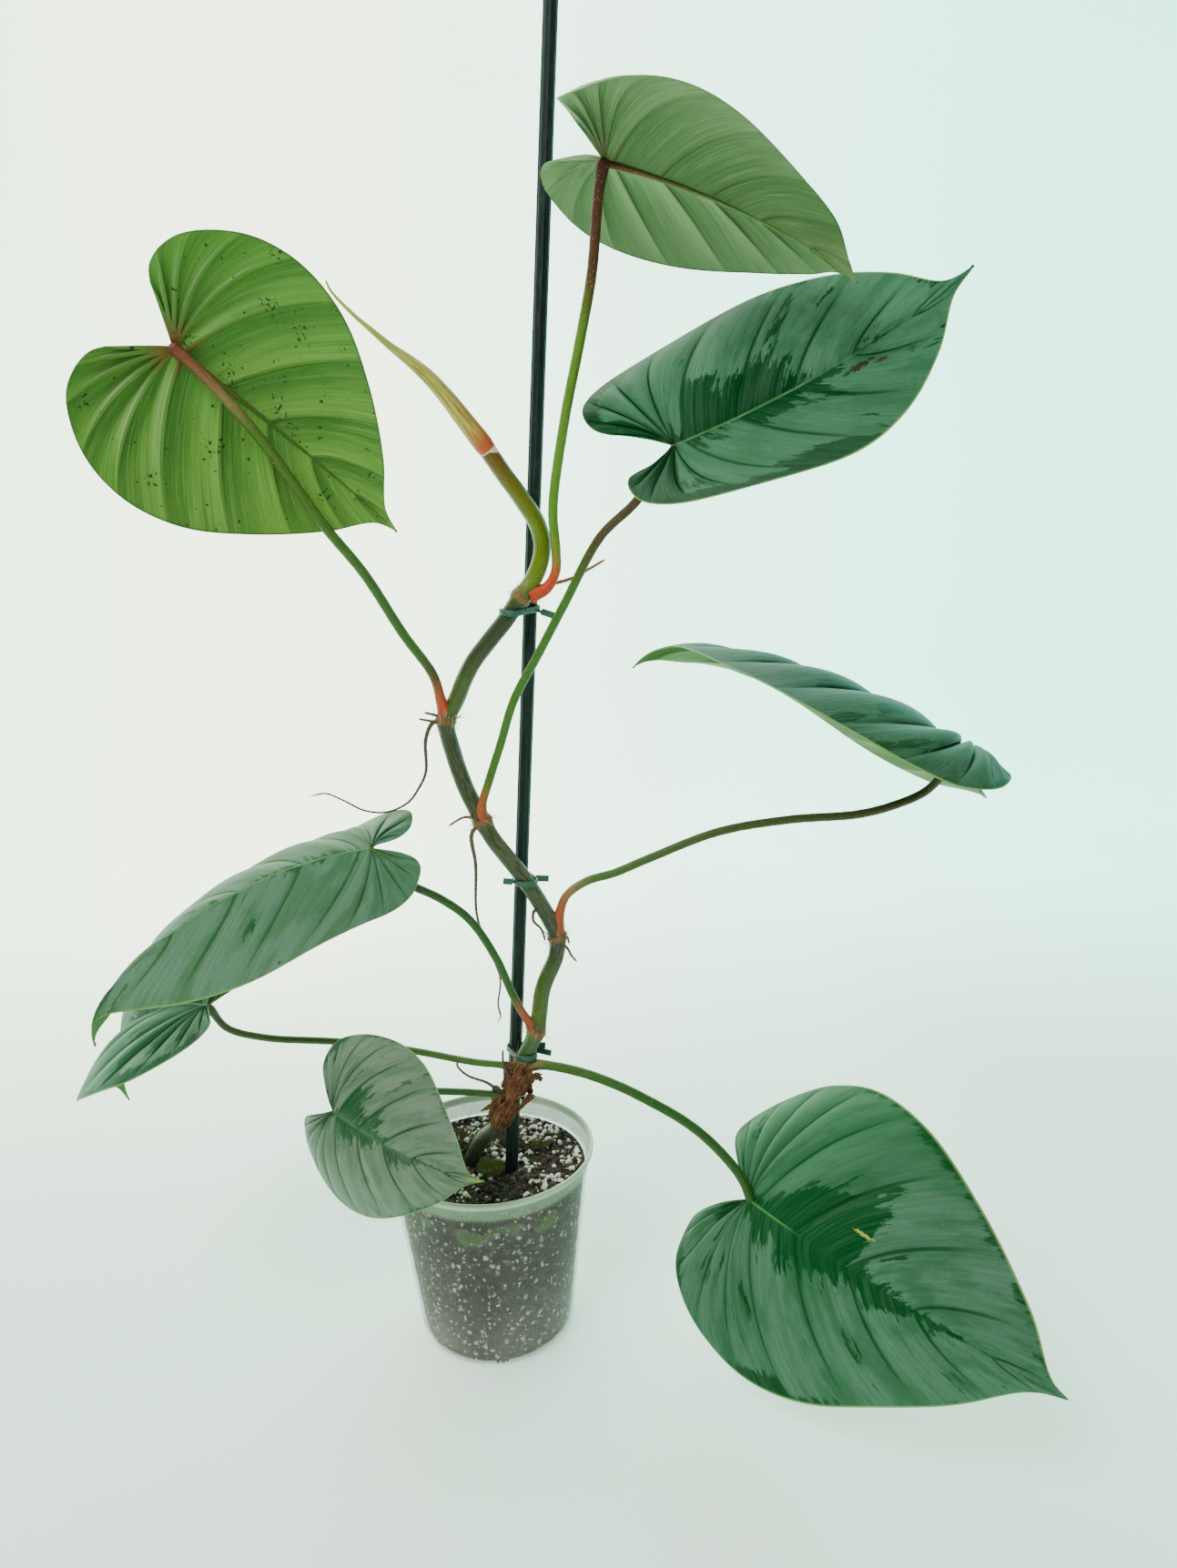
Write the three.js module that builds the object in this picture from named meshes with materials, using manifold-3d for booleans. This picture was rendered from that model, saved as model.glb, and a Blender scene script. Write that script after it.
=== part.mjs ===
// A climbing philodendron tied to a stake, in a clear nursery pot.
// Millimetres, +Z up. The origin is the middle of the pot's foot, on the ground.
// The front of the plant faces -Y.

import * as THREE from 'three';
import { mergeVertices } from 'three/addons/utils/BufferGeometryUtils.js';
import Module from 'manifold-3d';

const wasm = await Module();
wasm.setup();

// Driving dimensions
const GAP = 0.3;                  // clearance between neighbours that touch

const POT_HEIGHT = 116;
const RIM_RADIUS = 60;            // a 12 cm nursery pot
const RIM_LIP = 2.4;              // height of the rolled edge
const COLLAR_RADIUS = 56.4;       // wall just under the flared rim
const COLLAR_DROP = 12;           // height of the flared rim
const FOOT_RADIUS = 37;           // flat underside
const FOOT_ROUND = 8;             // rounding between the underside and the wall
const POT_WALL = 1.2;
const POT_SIDES = 40;
const SOIL_SIDES = 30;
const DRAIN_SLOTS = 6;
const SLOT_WIDTH = 9;
const SLOT_HEIGHT = 5;

const SOIL_LEVEL = 104;
const SOIL_LUMP = 1.5;            // how far the crumbs rise and sink
const PERLITE_GRAINS = 36;
const PERLITE_SIZE = 2.4;

const STAKE_RADIUS = 3.6;
const STAKE_RIB = 0.25;           // depth of the lengthwise ribs
const STAKE_RIBS = 8;
const STAKE_LENGTH = 744;
const STAKE_DEPTH = 86;           // length below the soil
const STAKE_ENTRY = new THREE.Vector3(11.7, -9, SOIL_LEVEL);
const STAKE_AXIS = new THREE.Vector3(0.0776, 0.0288, 1).normalize();

const STEM_RADIUS = 4.4;
const NODE_SWELL = 0.9;           // extra radius at a node
const NODE_REACH = 3.4;           // how far the swelling spreads along the stem
const STEM_STEPS = 80;
const STEM_SIDES = 8;

const BLADE_THICKNESS = 0.8;
const VEIN_PAIRS = 11;            // lateral veins on each side of the midrib
const BASAL_SHARE = 0.3;          // share of the veins that leave from the petiole's tip
const PUFF = 0.011;               // bulge of the blade between two veins, in midrib lengths
const WAVES = 2.5;                // waves of each half's margin, from the sinus to the tip
const VEIN_CELLS = 3;             // mesh cells from the midrib to the margin
const RIB_END = 0.5;              // where the midrib's rod runs out below, in midrib lengths

const TIE_WIDTH = 3;
const TIE_THICKNESS = 1;

// The main stem, from inside the soil to its growing tip. A node carries a leaf scar.
const STEM = [
  { at: [-22, 10, 62] },
  { at: [-17, 8, 86] },
  { at: [-11, 4, 104] },
  { at: [-4, -1, 120] },
  { at: [4, -8, 131] },
  { at: [8.5, -14, 144] },
  { at: [14, -17.5, 157], node: true },
  { at: [21, -17, 176], node: true },
  { at: [29, -17, 193], node: true },
  { at: [34, -14, 217] },
  { at: [42, -10, 234] },
  { at: [43, -10, 245], node: true },
  { at: [39, -12, 256] },
  { at: [26, -14, 281] },
  { at: [12, -11, 301] },
  { at: [6, -9, 312], node: true },
  { at: [-3, -8, 334] },
  { at: [-9, -6, 357] },
  { at: [-10, -6, 367], node: true },
  { at: [-5, -6, 376] },
  { at: [5, -8, 396] },
  { at: [23, -11, 418] },
  { at: [31, -11, 429], node: true },
  { at: [38, -10, 438] },
  { at: [42, -10, 447] },
  { at: [43, -10, 456] },
  { at: [41, -10, 465] },
  { at: [36, -9, 474] },
  { at: [24, -7, 492] },
  { at: [19, -7, 500] },
];

// The leaves. petiole is the route of the stalk, from inside the stem to the blade.
// length is the midrib, and width, wave and sweep are in midrib lengths. lopside widens the left
// half and narrows the right one, and lobe scales the basal lobes. slim narrows the [left, right]
// half towards the tip, and wave and phase are the height and start of the margin's waves there.
// Angles are in degrees: azimuth, rise and roll turn the blade, droop, hook and hang bend its
// midrib at the middle, the tip and the lobes, and fold and cup bend it across. lean and slack
// add to fold and cup on the left and take off on the right. sweep curves the midrib sideways.
const LEAVES = [
  {
    name: 'leaf_1', stalk: 2.4, length: 126.5, width: 1.02, lopside: -0.07, lobe: 0.8,
    slim: [0.06, 0.16], wave: [0.007, 0.069], phase: [225, -15],
    petiole: [[36, -11, 430], [44, -12, 433], [49, -13, 441], [49.5, -15, 452], [48.5, -18, 472],
      [55, -27, 514], [62, -35, 546], [68, -42, 576], [71, -47, 606], [74, -48, 621]],
    azimuth: -4, rise: -15, roll: -39.5, droop: 38, hook: 9, hang: 34,
    fold: 23.5, lean: 16, cup: 55, slack: -9, twist: -13.5, sweep: -0.05,
  },
  {
    name: 'leaf_2', stalk: 2.2, length: 154.5, width: 1.07, lopside: -0.027, lobe: 0.85,
    slim: [0.235, 0.155], wave: [0.012, 0.031], phase: [98, -50],
    petiole: [[6, -9, 311], [6, -13.5, 322], [10, -16, 335], [17, -18, 355], [25, -22, 379],
      [37, -28, 401], [51, -34, 427], [69, -40, 459], [85, -44, 474], [96, -47, 488], [104, -48, 500]],
    azimuth: -3, rise: 19.5, roll: 45, droop: -15, hook: -14, hang: -40,
    fold: 14.5, lean: -1, cup: 11.5, slack: 35, twist: 26.5, sweep: 0.073,
  },
  {
    name: 'leaf_3', stalk: 2.4, length: 123.5, width: 1.1, lopside: 0, lobe: 0.98,
    slim: [0, 0], wave: [0.01, 0.012], phase: [60, -40],
    petiole: [[-10, -6, 368], [-12, -9, 378], [-15, -14, 392], [-28, -26, 415], [-44, -38, 446],
      [-59, -44.5, 467.5], [-74, -47, 491.5], [-86.5, -49.5, 511], [-103.5, -56.5, 533], [-116, -54, 546]],
    azimuth: 28, rise: -37, roll: -68, droop: 26, hook: 9, hang: 50,
    fold: -10, lean: 0, cup: 20, slack: 0, twist: 0, sweep: 0.017,
  },
  {
    name: 'leaf_4', stalk: 2.3, length: 187.5, width: 0.922, lopside: -0.012, lobe: 0.631,
    slim: [-0.109, -0.136], wave: [0.016, 0.031], phase: [-59, -203],
    petiole: [[43, -11, 247], [45, -13, 261], [49, -14, 270], [60, -14, 277], [75, -15, 281],
      [94, -15, 288], [131, -17, 301], [169, -19, 306], [207, -20, 307], [226, -21, 311],
      [243, -22, 318], [251, -25, 328], [256, -28.5, 342]],
    azimuth: 149.5, rise: 31, roll: 32, droop: 31.5, hook: 55.5, hang: 8.5,
    fold: -5, lean: 1.5, cup: 17.5, slack: 36.5, twist: -5, sweep: 0.019,
  },
  {
    name: 'leaf_5', stalk: 2.2, length: 168, width: 0.63, lopside: -0.16, lobe: 0.8,
    slim: [-0.15, -0.13], wave: [0.033, 0.056], phase: [7, 181],
    petiole: [[29, -17, 194], [23, -20, 204], [17, -22, 218], [9, -25, 241], [-4, -28, 265],
      [-18, -30, 278], [-34, -32, 288], [-43, -42, 299], [-48, -50, 308], [-49, -57, 316]],
    azimuth: 204.5, rise: 2.5, roll: -35.5, droop: 58, hook: 52, hang: 52.5,
    fold: -49.5, lean: -27, cup: 1.5, slack: -55.5, twist: 28, sweep: 0.167,
  },
  {
    name: 'leaf_6', stalk: 1.9, length: 140, width: 0.96, lopside: 0, lobe: 0.85,
    slim: [0, 0], wave: [0.01, 0.01], phase: [30, 200],
    petiole: [[20, -17, 171], [11, -19, 175], [-6, -20, 179], [-40, -20, 189], [-76, -20, 197],
      [-116, -20, 203], [-134, -22, 211], [-142, -25, 226]],
    azimuth: 142, rise: -6, roll: -17, droop: 68, hook: 29, hang: -30,
    fold: 28, lean: -10, cup: 37, slack: 0, twist: -21, sweep: 0.08,
  },
  {
    name: 'leaf_7', stalk: 1.9, length: 91.5, width: 1, lopside: 0, lobe: 1.04,
    slim: [0, 0], wave: [0.008, 0.01], phase: [80, 10],
    petiole: [[14, -17, 156], [6, -21, 159], [-7, -28, 165], [-25, -40, 174], [-44, -53, 183],
      [-61, -64, 188], [-71, -71, 189], [-76, -74, 186]],
    azimuth: 310, rise: -8, roll: 77, droop: 25, hook: 30, hang: 31,
    fold: -1, lean: -10, cup: 36, slack: 0, twist: -12, sweep: 0.035,
  },
  {
    name: 'leaf_8', stalk: 2.6, length: 190, width: 0.92, lopside: 0, lobe: 1.25,
    slim: [0, 0], wave: [0.012, 0.016], phase: [-30, 100],
    petiole: [[22, -17, 173], [32, -20, 174], [53, -25, 170], [72, -32, 164], [86, -38, 158],
      [105, -46, 148], [118, -52, 138], [133, -58, 120], [138, -60, 105]],
    azimuth: 289, rise: 7, roll: 42, droop: 42, hook: 60, hang: 55,
    fold: -9, lean: 11, cup: 19, slack: 0, twist: 21, sweep: 0.09,
  },
];

// Half of a flat blade's outline, from the sinus round the lobe to the tip, in midrib lengths.
const HALF_OUTLINE = [
  [0, 0], [-0.12, 0.078], [-0.235, 0.175], [-0.24, 0.31], [-0.1, 0.45], [0.12, 0.515],
  [0.36, 0.475], [0.6, 0.335], [0.8, 0.165], [0.915, 0.032], [1, 0],
];
const HALF_WIDTH = 0.515;
const TIP_BEND_START = 0.72;      // where the hook of the tip begins along the midrib
const LOBE_REACH = 0.475;         // half width over which fold and cup are stated

// Aerial roots, each from inside the stem to its free end, with its radius there.
const ROOTS = [
  { radius: 0.6, route: [[-11, -6, 367], [-17, -7, 366], [-21, -8, 358], [-22, -10, 341],
    [-26, -11, 333], [-32, -13, 326], [-43, -15, 322], [-54, -17, 324], [-65, -19, 331],
    [-73, -20, 335], [-81, -21, 334]] },
  { radius: 0.7, route: [[6, -9, 312], [0, -12, 307], [1, -13, 290], [0, -13, 264], [2, -12, 252],
    [9, -11, 231], [11, -11, 222], [9, -12, 208], [10, -13, 201], [8, -13, 198]] },
  { radius: 0.8, route: [[37, -12, 259], [31, -16, 263], [30, -18, 258], [34, -18, 253], [36, -18, 246]] },
  { radius: 0.8, route: [[43, -10, 245], [48, -14, 246], [49, -15, 242]] },
  { radius: 0.8, route: [[43, -10, 242], [48, -13, 239], [50, -14, 235], [53, -14, 231]] },
  { radius: 0.6, route: [[36, -11, 432], [43, -5, 434], [50, -4, 435], [58, -4, 437], [66, -5, 441],
    [75, -7, 446]] },
  { radius: 0.8, route: [[-10, -6, 368], [-15, -7, 370], [-21, -8, 372]] },
  { radius: 0.8, route: [[-10, -6, 366], [-16, -8, 367], [-24, -9, 369]] },
  { radius: 0.8, route: [[6, -9, 312], [-3, -12, 316], [-12, -13, 312]] },
  { radius: 0.8, route: [[13, -17, 158], [7, -24, 163], [0, -27, 170], [-9, -28, 175], [-14, -28, 180],
    [-15, -28, 183], [-13, -28, 185]] },
  { radius: 0.8, route: [[17, -17, 166], [13, -24, 171], [10, -26, 180], [10, -26, 188]] },
];
const ROOT_BASE = 1.3;            // radius where a root leaves the stem

// The cataphyll that holds the next leaf: its route and its radius at each point.
const SPEAR = [
  { at: [18, -7.1, 501.5], radius: 4.6 }, { at: [15.5, -8, 505], radius: 5 },
  { at: [8, -9, 515], radius: 4.6 }, { at: [-1, -10, 527], radius: 4 },
  { at: [-9, -11, 536], radius: 3.5 }, { at: [-17, -12, 543], radius: 2.7 },
  { at: [-25, -13, 549], radius: 1.9 }, { at: [-33, -14, 556], radius: 1.4 },
  { at: [-41, -15, 563], radius: 1 }, { at: [-51, -16, 574], radius: 0.6 },
  { at: [-53, -16, 579], radius: 0.4 },
];

// Flat ties round stem and stake, each with the free ends of its twist.
const TIES = [
  { name: 'tie_upper', height: 422, tails: [[[35, -6, 423], [42, -8, 421], [50, -9, 418]]] },
  {
    name: 'tie_middle', height: 279,
    tails: [[[22, -17, 280], [15, -17, 281]], [[30, -6, 278], [40, -6, 277]]],
  },
  {
    name: 'tie_lower', height: 179.5,
    tails: [[[24, -9, 179.5], [37, -13, 177]], [[24, -9, 181.5], [34, -12, 181.5]]],
  },
];

// Papery remains of old cataphylls round the lower nodes. start and sweep are angles round the stem.
const DRY_SHEATHS = [
  { name: 'dry_sheath_lower', from: 4.6, to: 6.05, start: -35, sweep: 250, flare: 1.2, taper: 0.3 },
  { name: 'dry_sheath_middle', from: 6.15, to: 6.95, start: -10, sweep: 200, flare: 2.4, taper: 0.45 },
];

const radians = THREE.MathUtils.degToRad;
const vector = (point) => new THREE.Vector3(...point);

// Meshes and solids

// A closed mesh as a solid that can be joined and cut.
function solid(geometry) {
  const bare = new THREE.BufferGeometry();
  bare.setAttribute('position', geometry.attributes.position);
  bare.setIndex(geometry.index);
  const merged = mergeVertices(bare, 1e-4);
  const corners = merged.index.array;
  const triVerts = [];
  for (let i = 0; i < corners.length; i += 3) {
    const [a, b, c] = [corners[i], corners[i + 1], corners[i + 2]];
    if (a !== b && b !== c && c !== a) triVerts.push(a, b, c);
  }
  return new wasm.Manifold(new wasm.Mesh({
    numProp: 3,
    vertProperties: merged.attributes.position.array,
    triVerts: Uint32Array.from(triVerts),
  }));
}

function geometryOf(manifold) {
  const { vertProperties, triVerts } = manifold.getMesh();
  const geometry = new THREE.BufferGeometry();
  geometry.setAttribute('position', new THREE.BufferAttribute(vertProperties, 3));
  geometry.setIndex(new THREE.BufferAttribute(triVerts, 1));
  return geometry;
}

// The largest body of a cut solid: loose scraps are dropped.
function largest(manifold) {
  return manifold.decompose().sort((a, b) => b.volume() - a.volume())[0];
}

function circle(radius, sides) {
  return Array.from({ length: sides }, (_, i) => {
    const angle = (2 * Math.PI * i) / sides;
    return new THREE.Vector2(radius * Math.cos(angle), radius * Math.sin(angle));
  });
}

const CORE = 0.2;                 // radius of a tube's section before it is widened

// A closed tube along a smooth route. radiusAt gets the share of the length and the place there.
function tube(route, radiusAt, sides, steps) {
  const path = new THREE.CatmullRomCurve3(route);
  const geometry = new THREE.ExtrudeGeometry(new THREE.Shape(circle(CORE, sides)), {
    steps, extrudePath: path,
  });
  const centres = path.getSpacedPoints(steps);
  const position = geometry.attributes.position;
  const point = new THREE.Vector3();
  for (let i = 0; i < position.count; i++) {
    point.fromBufferAttribute(position, i);
    const ring = nearest(centres, point);
    const radius = radiusAt(ring / steps, centres[ring]);
    point.sub(centres[ring]).multiplyScalar(radius / CORE).add(centres[ring]);
    position.setXYZ(i, point.x, point.y, point.z);
  }
  return solid(geometry);
}

function nearest(points, place) {
  const distances = points.map((point) => point.distanceToSquared(place));
  return distances.indexOf(Math.min(...distances));
}

// Gives an open surface a thickness: the same triangles again below it, and a strip round its edge.
function thicken(triangles, thickness) {
  const surface = mergeVertices(new THREE.BufferGeometry().setFromPoints(triangles), 1e-3);
  surface.computeVertexNormals();
  const { position, normal } = surface.attributes;
  const corners = surface.index.array;
  const count = position.count;
  const points = [];
  for (const depth of [0, thickness]) {
    for (let i = 0; i < count; i++) {
      const below = new THREE.Vector3().fromBufferAttribute(normal, i).multiplyScalar(-depth);
      points.push(below.add(new THREE.Vector3().fromBufferAttribute(position, i)));
    }
  }
  const faces = [];
  const open = new Map();
  for (let i = 0; i < corners.length; i += 3) {
    const [a, b, c] = [corners[i], corners[i + 1], corners[i + 2]];
    if (a === b || b === c || c === a) continue;
    faces.push(a, b, c, c + count, b + count, a + count);
    for (const [p, q] of [[a, b], [b, c], [c, a]]) {
      if (!open.delete(`${q},${p}`)) open.set(`${p},${q}`, [p, q]);
    }
  }
  for (const [p, q] of open.values()) {
    faces.push(q, p, p + count, q, p + count, q + count);
  }
  const geometry = new THREE.BufferGeometry().setFromPoints(points);
  geometry.setIndex(faces);
  return solid(geometry);
}

// Two triangles for each cell of a grid of points; turned faces the other way.
function gridTriangles(grid, turned) {
  const triangles = [];
  for (let j = 0; j + 1 < grid.length; j++) {
    for (let i = 0; i + 1 < grid[j].length; i++) {
      const [p, q, r, s] = [grid[j][i], grid[j + 1][i], grid[j + 1][i + 1], grid[j][i + 1]];
      triangles.push(...(turned ? [p, s, r, p, r, q] : [p, q, r, p, r, s]));
    }
  }
  return triangles;
}

function named(name, manifold, look) {
  const mesh = new THREE.Mesh(geometryOf(manifold), new THREE.MeshStandardMaterial(look));
  mesh.name = name;
  return mesh;
}

// A repeatable draw between 0 and 1, in place of a random one
function drawer(seed) {
  let state = seed;
  return () => {
    state = (state * 1664525 + 1013904223) % 4294967296;
    return state / 4294967296;
  };
}

// The leaf blade

const outline = new THREE.CatmullRomCurve3(HALF_OUTLINE.map(([x, y]) => new THREE.Vector3(x, y, 0)));

// Where the left half's or the right half's own values stand in a pair
const half = (side) => (side > 0 ? 0 : 1);

// Place on the flat blade, in midrib lengths. vein runs round the margin from the sinus (0) to
// the tip (1), and out runs along that vein from the midrib (0) to the margin (1). side is 1 on
// the left of the midrib and -1 on the right.
function onFlatBlade(leaf, vein, out, side) {
  const margin = outline.getPoint(vein);
  const end = {
    x: margin.x * (margin.x < 0 ? leaf.lobe : 1),
    y: (margin.y / HALF_WIDTH) * (leaf.width / 2) * (1 + side * leaf.lopside),
  };
  end.y *= 1 - leaf.slim[half(side)] * Math.max(0, end.x);
  const start = Math.max(0, (vein - BASAL_SHARE) / (1 - BASAL_SHARE)) ** 1.15;
  const bend = { x: start + (end.x - start) * 0.3, y: end.y * 0.62 };
  const rest = 1 - out;
  return {
    x: start * rest * rest + 2 * bend.x * out * rest + end.x * out * out,
    y: side * (2 * bend.y * out * rest + end.y * out * out),
  };
}

// How far the midrib has turned down at x
function midribTurn(leaf, x) {
  if (x < 0) return radians(leaf.hang) * x;
  const hook = Math.max(0, (x - TIP_BEND_START) / (1 - TIP_BEND_START));
  return radians(leaf.droop) * x + radians(leaf.hook) * hook * hook;
}

const BEND_STEPS = 24;
const PROBE = 0.01;               // short step, in midrib lengths, that finds a direction on the blade

function midribPlace(leaf, x) {
  const step = x / BEND_STEPS;
  let along = 0;
  let up = 0;
  for (let i = 0; i < BEND_STEPS; i++) {
    const turn = midribTurn(leaf, (i + 0.5) * step);
    along += Math.cos(turn) * step;
    up -= Math.sin(turn) * step;
  }
  return { along, up, turn: midribTurn(leaf, x) };
}

// Bends a flat place across and along the blade and sets it in the plant.
function onBlade(leaf, { x, y }, lift = 0) {
  const side = Math.sign(y) || 1;
  const fold = radians(leaf.fold) + side * radians(leaf.lean);
  const rate = -radians(leaf.cup + side * leaf.slack) / LOBE_REACH || 1e-6;
  const reach = Math.abs(y);
  const across = (side * (Math.sin(fold + rate * reach) - Math.sin(fold))) / rate;
  const height = (Math.cos(fold) - Math.cos(fold + rate * reach)) / rate + lift;
  const twist = radians(leaf.twist) * x;
  const sideways = across * Math.cos(twist) - height * Math.sin(twist)
    + leaf.sweep * THREE.MathUtils.clamp(x, 0, 1) ** 2;
  const raised = across * Math.sin(twist) + height * Math.cos(twist);
  const { along, up, turn } = midribPlace(leaf, x);
  return new THREE.Vector3(
    along + raised * Math.sin(turn), sideways, up + raised * Math.cos(turn),
  ).multiplyScalar(leaf.length).applyMatrix4(bladeFrame(leaf));
}

// The blade's axes: X along the midrib, Y to its left, Z out of the upper side
function bladeFrame(leaf) {
  const [azimuth, rise, roll] = [radians(leaf.azimuth), radians(leaf.rise), radians(leaf.roll)];
  return new THREE.Matrix4().setPosition(vector(leaf.petiole.at(-1)))
    .multiply(new THREE.Matrix4().makeRotationZ(azimuth))
    .multiply(new THREE.Matrix4().makeRotationY(-rise))
    .multiply(new THREE.Matrix4().makeRotationX(roll));
}

// Lift of the blade between its veins, which lie on the even rows, and of its waved margin
function swell(leaf, vein, out, side) {
  const ends = Math.min(1, 4 * vein, 4 * (1 - vein));
  const between = (1 - Math.cos(2 * Math.PI * VEIN_PAIRS * vein)) / 2;
  const puff = PUFF * between * Math.sin(Math.PI * out);
  const angle = 2 * Math.PI * WAVES * vein + radians(leaf.phase[half(side)]);
  return ends * (puff + leaf.wave[half(side)] * Math.sin(angle) * out ** 3);
}

function bladeSolid(leaf) {
  const triangles = [];
  const rows = 2 * VEIN_PAIRS;
  for (const side of [1, -1]) {
    const grid = Array.from({ length: rows + 1 }, (_, row) => {
      const vein = row / rows;
      return Array.from({ length: VEIN_CELLS + 1 }, (__, cell) => {
        const out = cell / VEIN_CELLS;
        return onBlade(leaf, onFlatBlade(leaf, vein, out, side), swell(leaf, vein, out, side));
      });
    });
    triangles.push(...gridTriangles(grid, side < 0));
  }
  return thicken(triangles, BLADE_THICKNESS);
}

// The middle of a rod of that radius that lies in the fold under the midrib
function underMidrib(leaf, x, radius) {
  const middle = onBlade(leaf, { x, y: 0 });
  const up = middle.clone().sub(onBlade(leaf, { x, y: 0 }, -PROBE)).normalize();
  const ahead = onBlade(leaf, { x: x + PROBE, y: 0 }).sub(middle).normalize();
  const left = up.clone().cross(ahead);
  const [fold, tilt] = [radians(Math.min(0, leaf.fold)), radians(leaf.lean)];
  const depth = BLADE_THICKNESS / 2 + radius / Math.cos(fold);
  return middle.addScaledVector(left, depth * Math.sin(tilt)).addScaledVector(up, -depth * Math.cos(tilt));
}

// Stem, leaves and roots

const stemRoute = STEM.map(({ at }) => vector(at));
const nodePlaces = STEM.filter(({ node }) => node).map(({ at }) => vector(at));
const stemPath = new THREE.CatmullRomCurve3(stemRoute);

function stemRadius(place) {
  const swell = nodePlaces.map((node) => Math.exp(-((node.distanceTo(place) / NODE_REACH) ** 2)));
  return STEM_RADIUS + NODE_SWELL * Math.max(...swell);
}

function rootSolid({ radius, route }, extra) {
  const radiusAt = (share) => radius * (1 - 0.3 * share) + (ROOT_BASE - radius) * (1 - share) ** 3 + extra;
  return tube(route.map(vector), radiusAt, 4, 2 * route.length);
}

// The stem with its aerial roots, or with extra the space that they need
function stemSolid(extra = 0) {
  const body = tube(stemRoute, (_, place) => stemRadius(place) + extra, STEM_SIDES, STEM_STEPS);
  return ROOTS.reduce((stem, root) => stem.add(rootSolid(root, extra)), body);
}

const stemRoom = stemSolid(GAP);

function petioleSolid(leaf, extra = 0) {
  const end = underMidrib(leaf, 0, 0.9 * leaf.stalk);
  const route = [...leaf.petiole.slice(0, -1).map(vector), end];
  const radiusAt = (share) => leaf.stalk + 2 * Math.max(0, 1 - share / 0.09) ** 2 + extra;
  return tube(route, radiusAt, 6, 16);
}

function leafSolid(leaf) {
  const knuckle = new THREE.IcosahedronGeometry(1.25 * leaf.stalk, 0);
  knuckle.translate(...underMidrib(leaf, 0, 0.9 * leaf.stalk).toArray());
  const ribRadius = (share) => leaf.stalk * (0.62 - 0.4 * share);
  const ribRoute = [0, 0.22, 0.58, 1].map(
    (share) => underMidrib(leaf, RIB_END * share + 0.01, ribRadius(share)),
  );
  const rib = tube(ribRoute, ribRadius, 4, 4);
  const leafy = bladeSolid(leaf).add(rib).add(solid(knuckle)).add(petioleSolid(leaf));
  return largest(leafy.subtract(stemRoom));
}

const leaves = LEAVES.map(leafSolid);

// Where petioles leave the stem, with clearance, for what lies beside them
const petioleRoom = LEAVES.map((leaf) => petioleSolid(leaf, GAP)).reduce((a, b) => a.add(b));

function spearSolid() {
  const radii = new THREE.CatmullRomCurve3(
    SPEAR.map(({ radius }, i) => new THREE.Vector3(i, radius, 0)),
  );
  const route = SPEAR.map(({ at }) => vector(at));
  const path = new THREE.CatmullRomCurve3(route);
  const radiusAt = (share) => radii.getPoint(path.getUtoTmapping(share)).y;
  return largest(tube(route, radiusAt, 8, 20).subtract(stemRoom));
}

function drySheathSolid(sheath) {
  const [rows, columns] = [5, 8];
  const grid = Array.from({ length: rows + 1 }, (_, row) => {
    const share = row / rows;
    const step = (sheath.from + (sheath.to - sheath.from) * share) / (STEM.length - 1);
    const centre = stemPath.getPoint(step);
    const axis = stemPath.getTangent(step);
    const front = new THREE.Vector3(0, -1, 0).addScaledVector(axis, axis.y).normalize();
    const right = new THREE.Vector3().crossVectors(axis, front).normalize();
    const radius = STEM_RADIUS + NODE_SWELL + 1.4 + sheath.flare * share * share;
    const half = (sheath.sweep / 2) * (1 - sheath.taper * share);
    return Array.from({ length: columns + 1 }, (_, column) => {
      const angle = radians(sheath.start + sheath.sweep / 2 + half * ((2 * column) / columns - 1));
      return centre.clone()
        .addScaledVector(right, radius * Math.cos(angle))
        .addScaledVector(front, radius * Math.sin(angle));
    });
  });
  const sheet = thicken(gridTriangles(grid, true), BLADE_THICKNESS);
  return largest(sheet.subtract(stemRoom).subtract(petioleRoom).subtract(stakeRoom));
}

// Stake and ties

// A ribbed stake with a pointed foot and a rounded top, leaning as the plant does
function stakeSolid(extra = 0) {
  const point = 14;
  const profile = [
    [0, 0], [STAKE_RADIUS * 0.35, 1], [STAKE_RADIUS, point], [STAKE_RADIUS, STAKE_LENGTH - 3],
    [STAKE_RADIUS * 0.8, STAKE_LENGTH - 1], [0, STAKE_LENGTH],
  ].map(([radius, height]) => new THREE.Vector2(radius && radius + extra, height));
  const geometry = new THREE.LatheGeometry(profile, 3 * STAKE_RIBS).rotateX(Math.PI / 2);
  const position = geometry.attributes.position;
  for (let i = 0; i < position.count; i++) {
    const [x, y] = [position.getX(i), position.getY(i)];
    const rib = STAKE_RIB * Math.cos(STAKE_RIBS * Math.atan2(y, x));
    const radius = Math.hypot(x, y);
    const scale = radius > STAKE_RADIUS / 2 ? (radius + rib - STAKE_RIB) / radius : 1;
    position.setXY(i, x * scale, y * scale);
  }
  const lean = new THREE.Quaternion().setFromUnitVectors(new THREE.Vector3(0, 0, 1), STAKE_AXIS);
  const foot = STAKE_ENTRY.clone().addScaledVector(STAKE_AXIS, -STAKE_DEPTH);
  return solid(geometry.applyQuaternion(lean).translate(foot.x, foot.y, foot.z));
}

const stakeRoom = stakeSolid(GAP);

// The loop of a belt round two circles: an arc on the far side of each
function belt(a, radiusA, b, radiusB) {
  const heading = Math.atan2(b.y - a.y, b.x - a.x);
  const arc = (centre, radius, turn) => Array.from({ length: 7 }, (_, i) => {
    const angle = heading + turn + Math.PI * (i / 6 - 0.5);
    return new THREE.Vector2(centre.x + radius * Math.cos(angle), centre.y + radius * Math.sin(angle));
  });
  return [...arc(b, radiusB, 0), ...arc(a, radiusA, Math.PI)];
}

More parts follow.
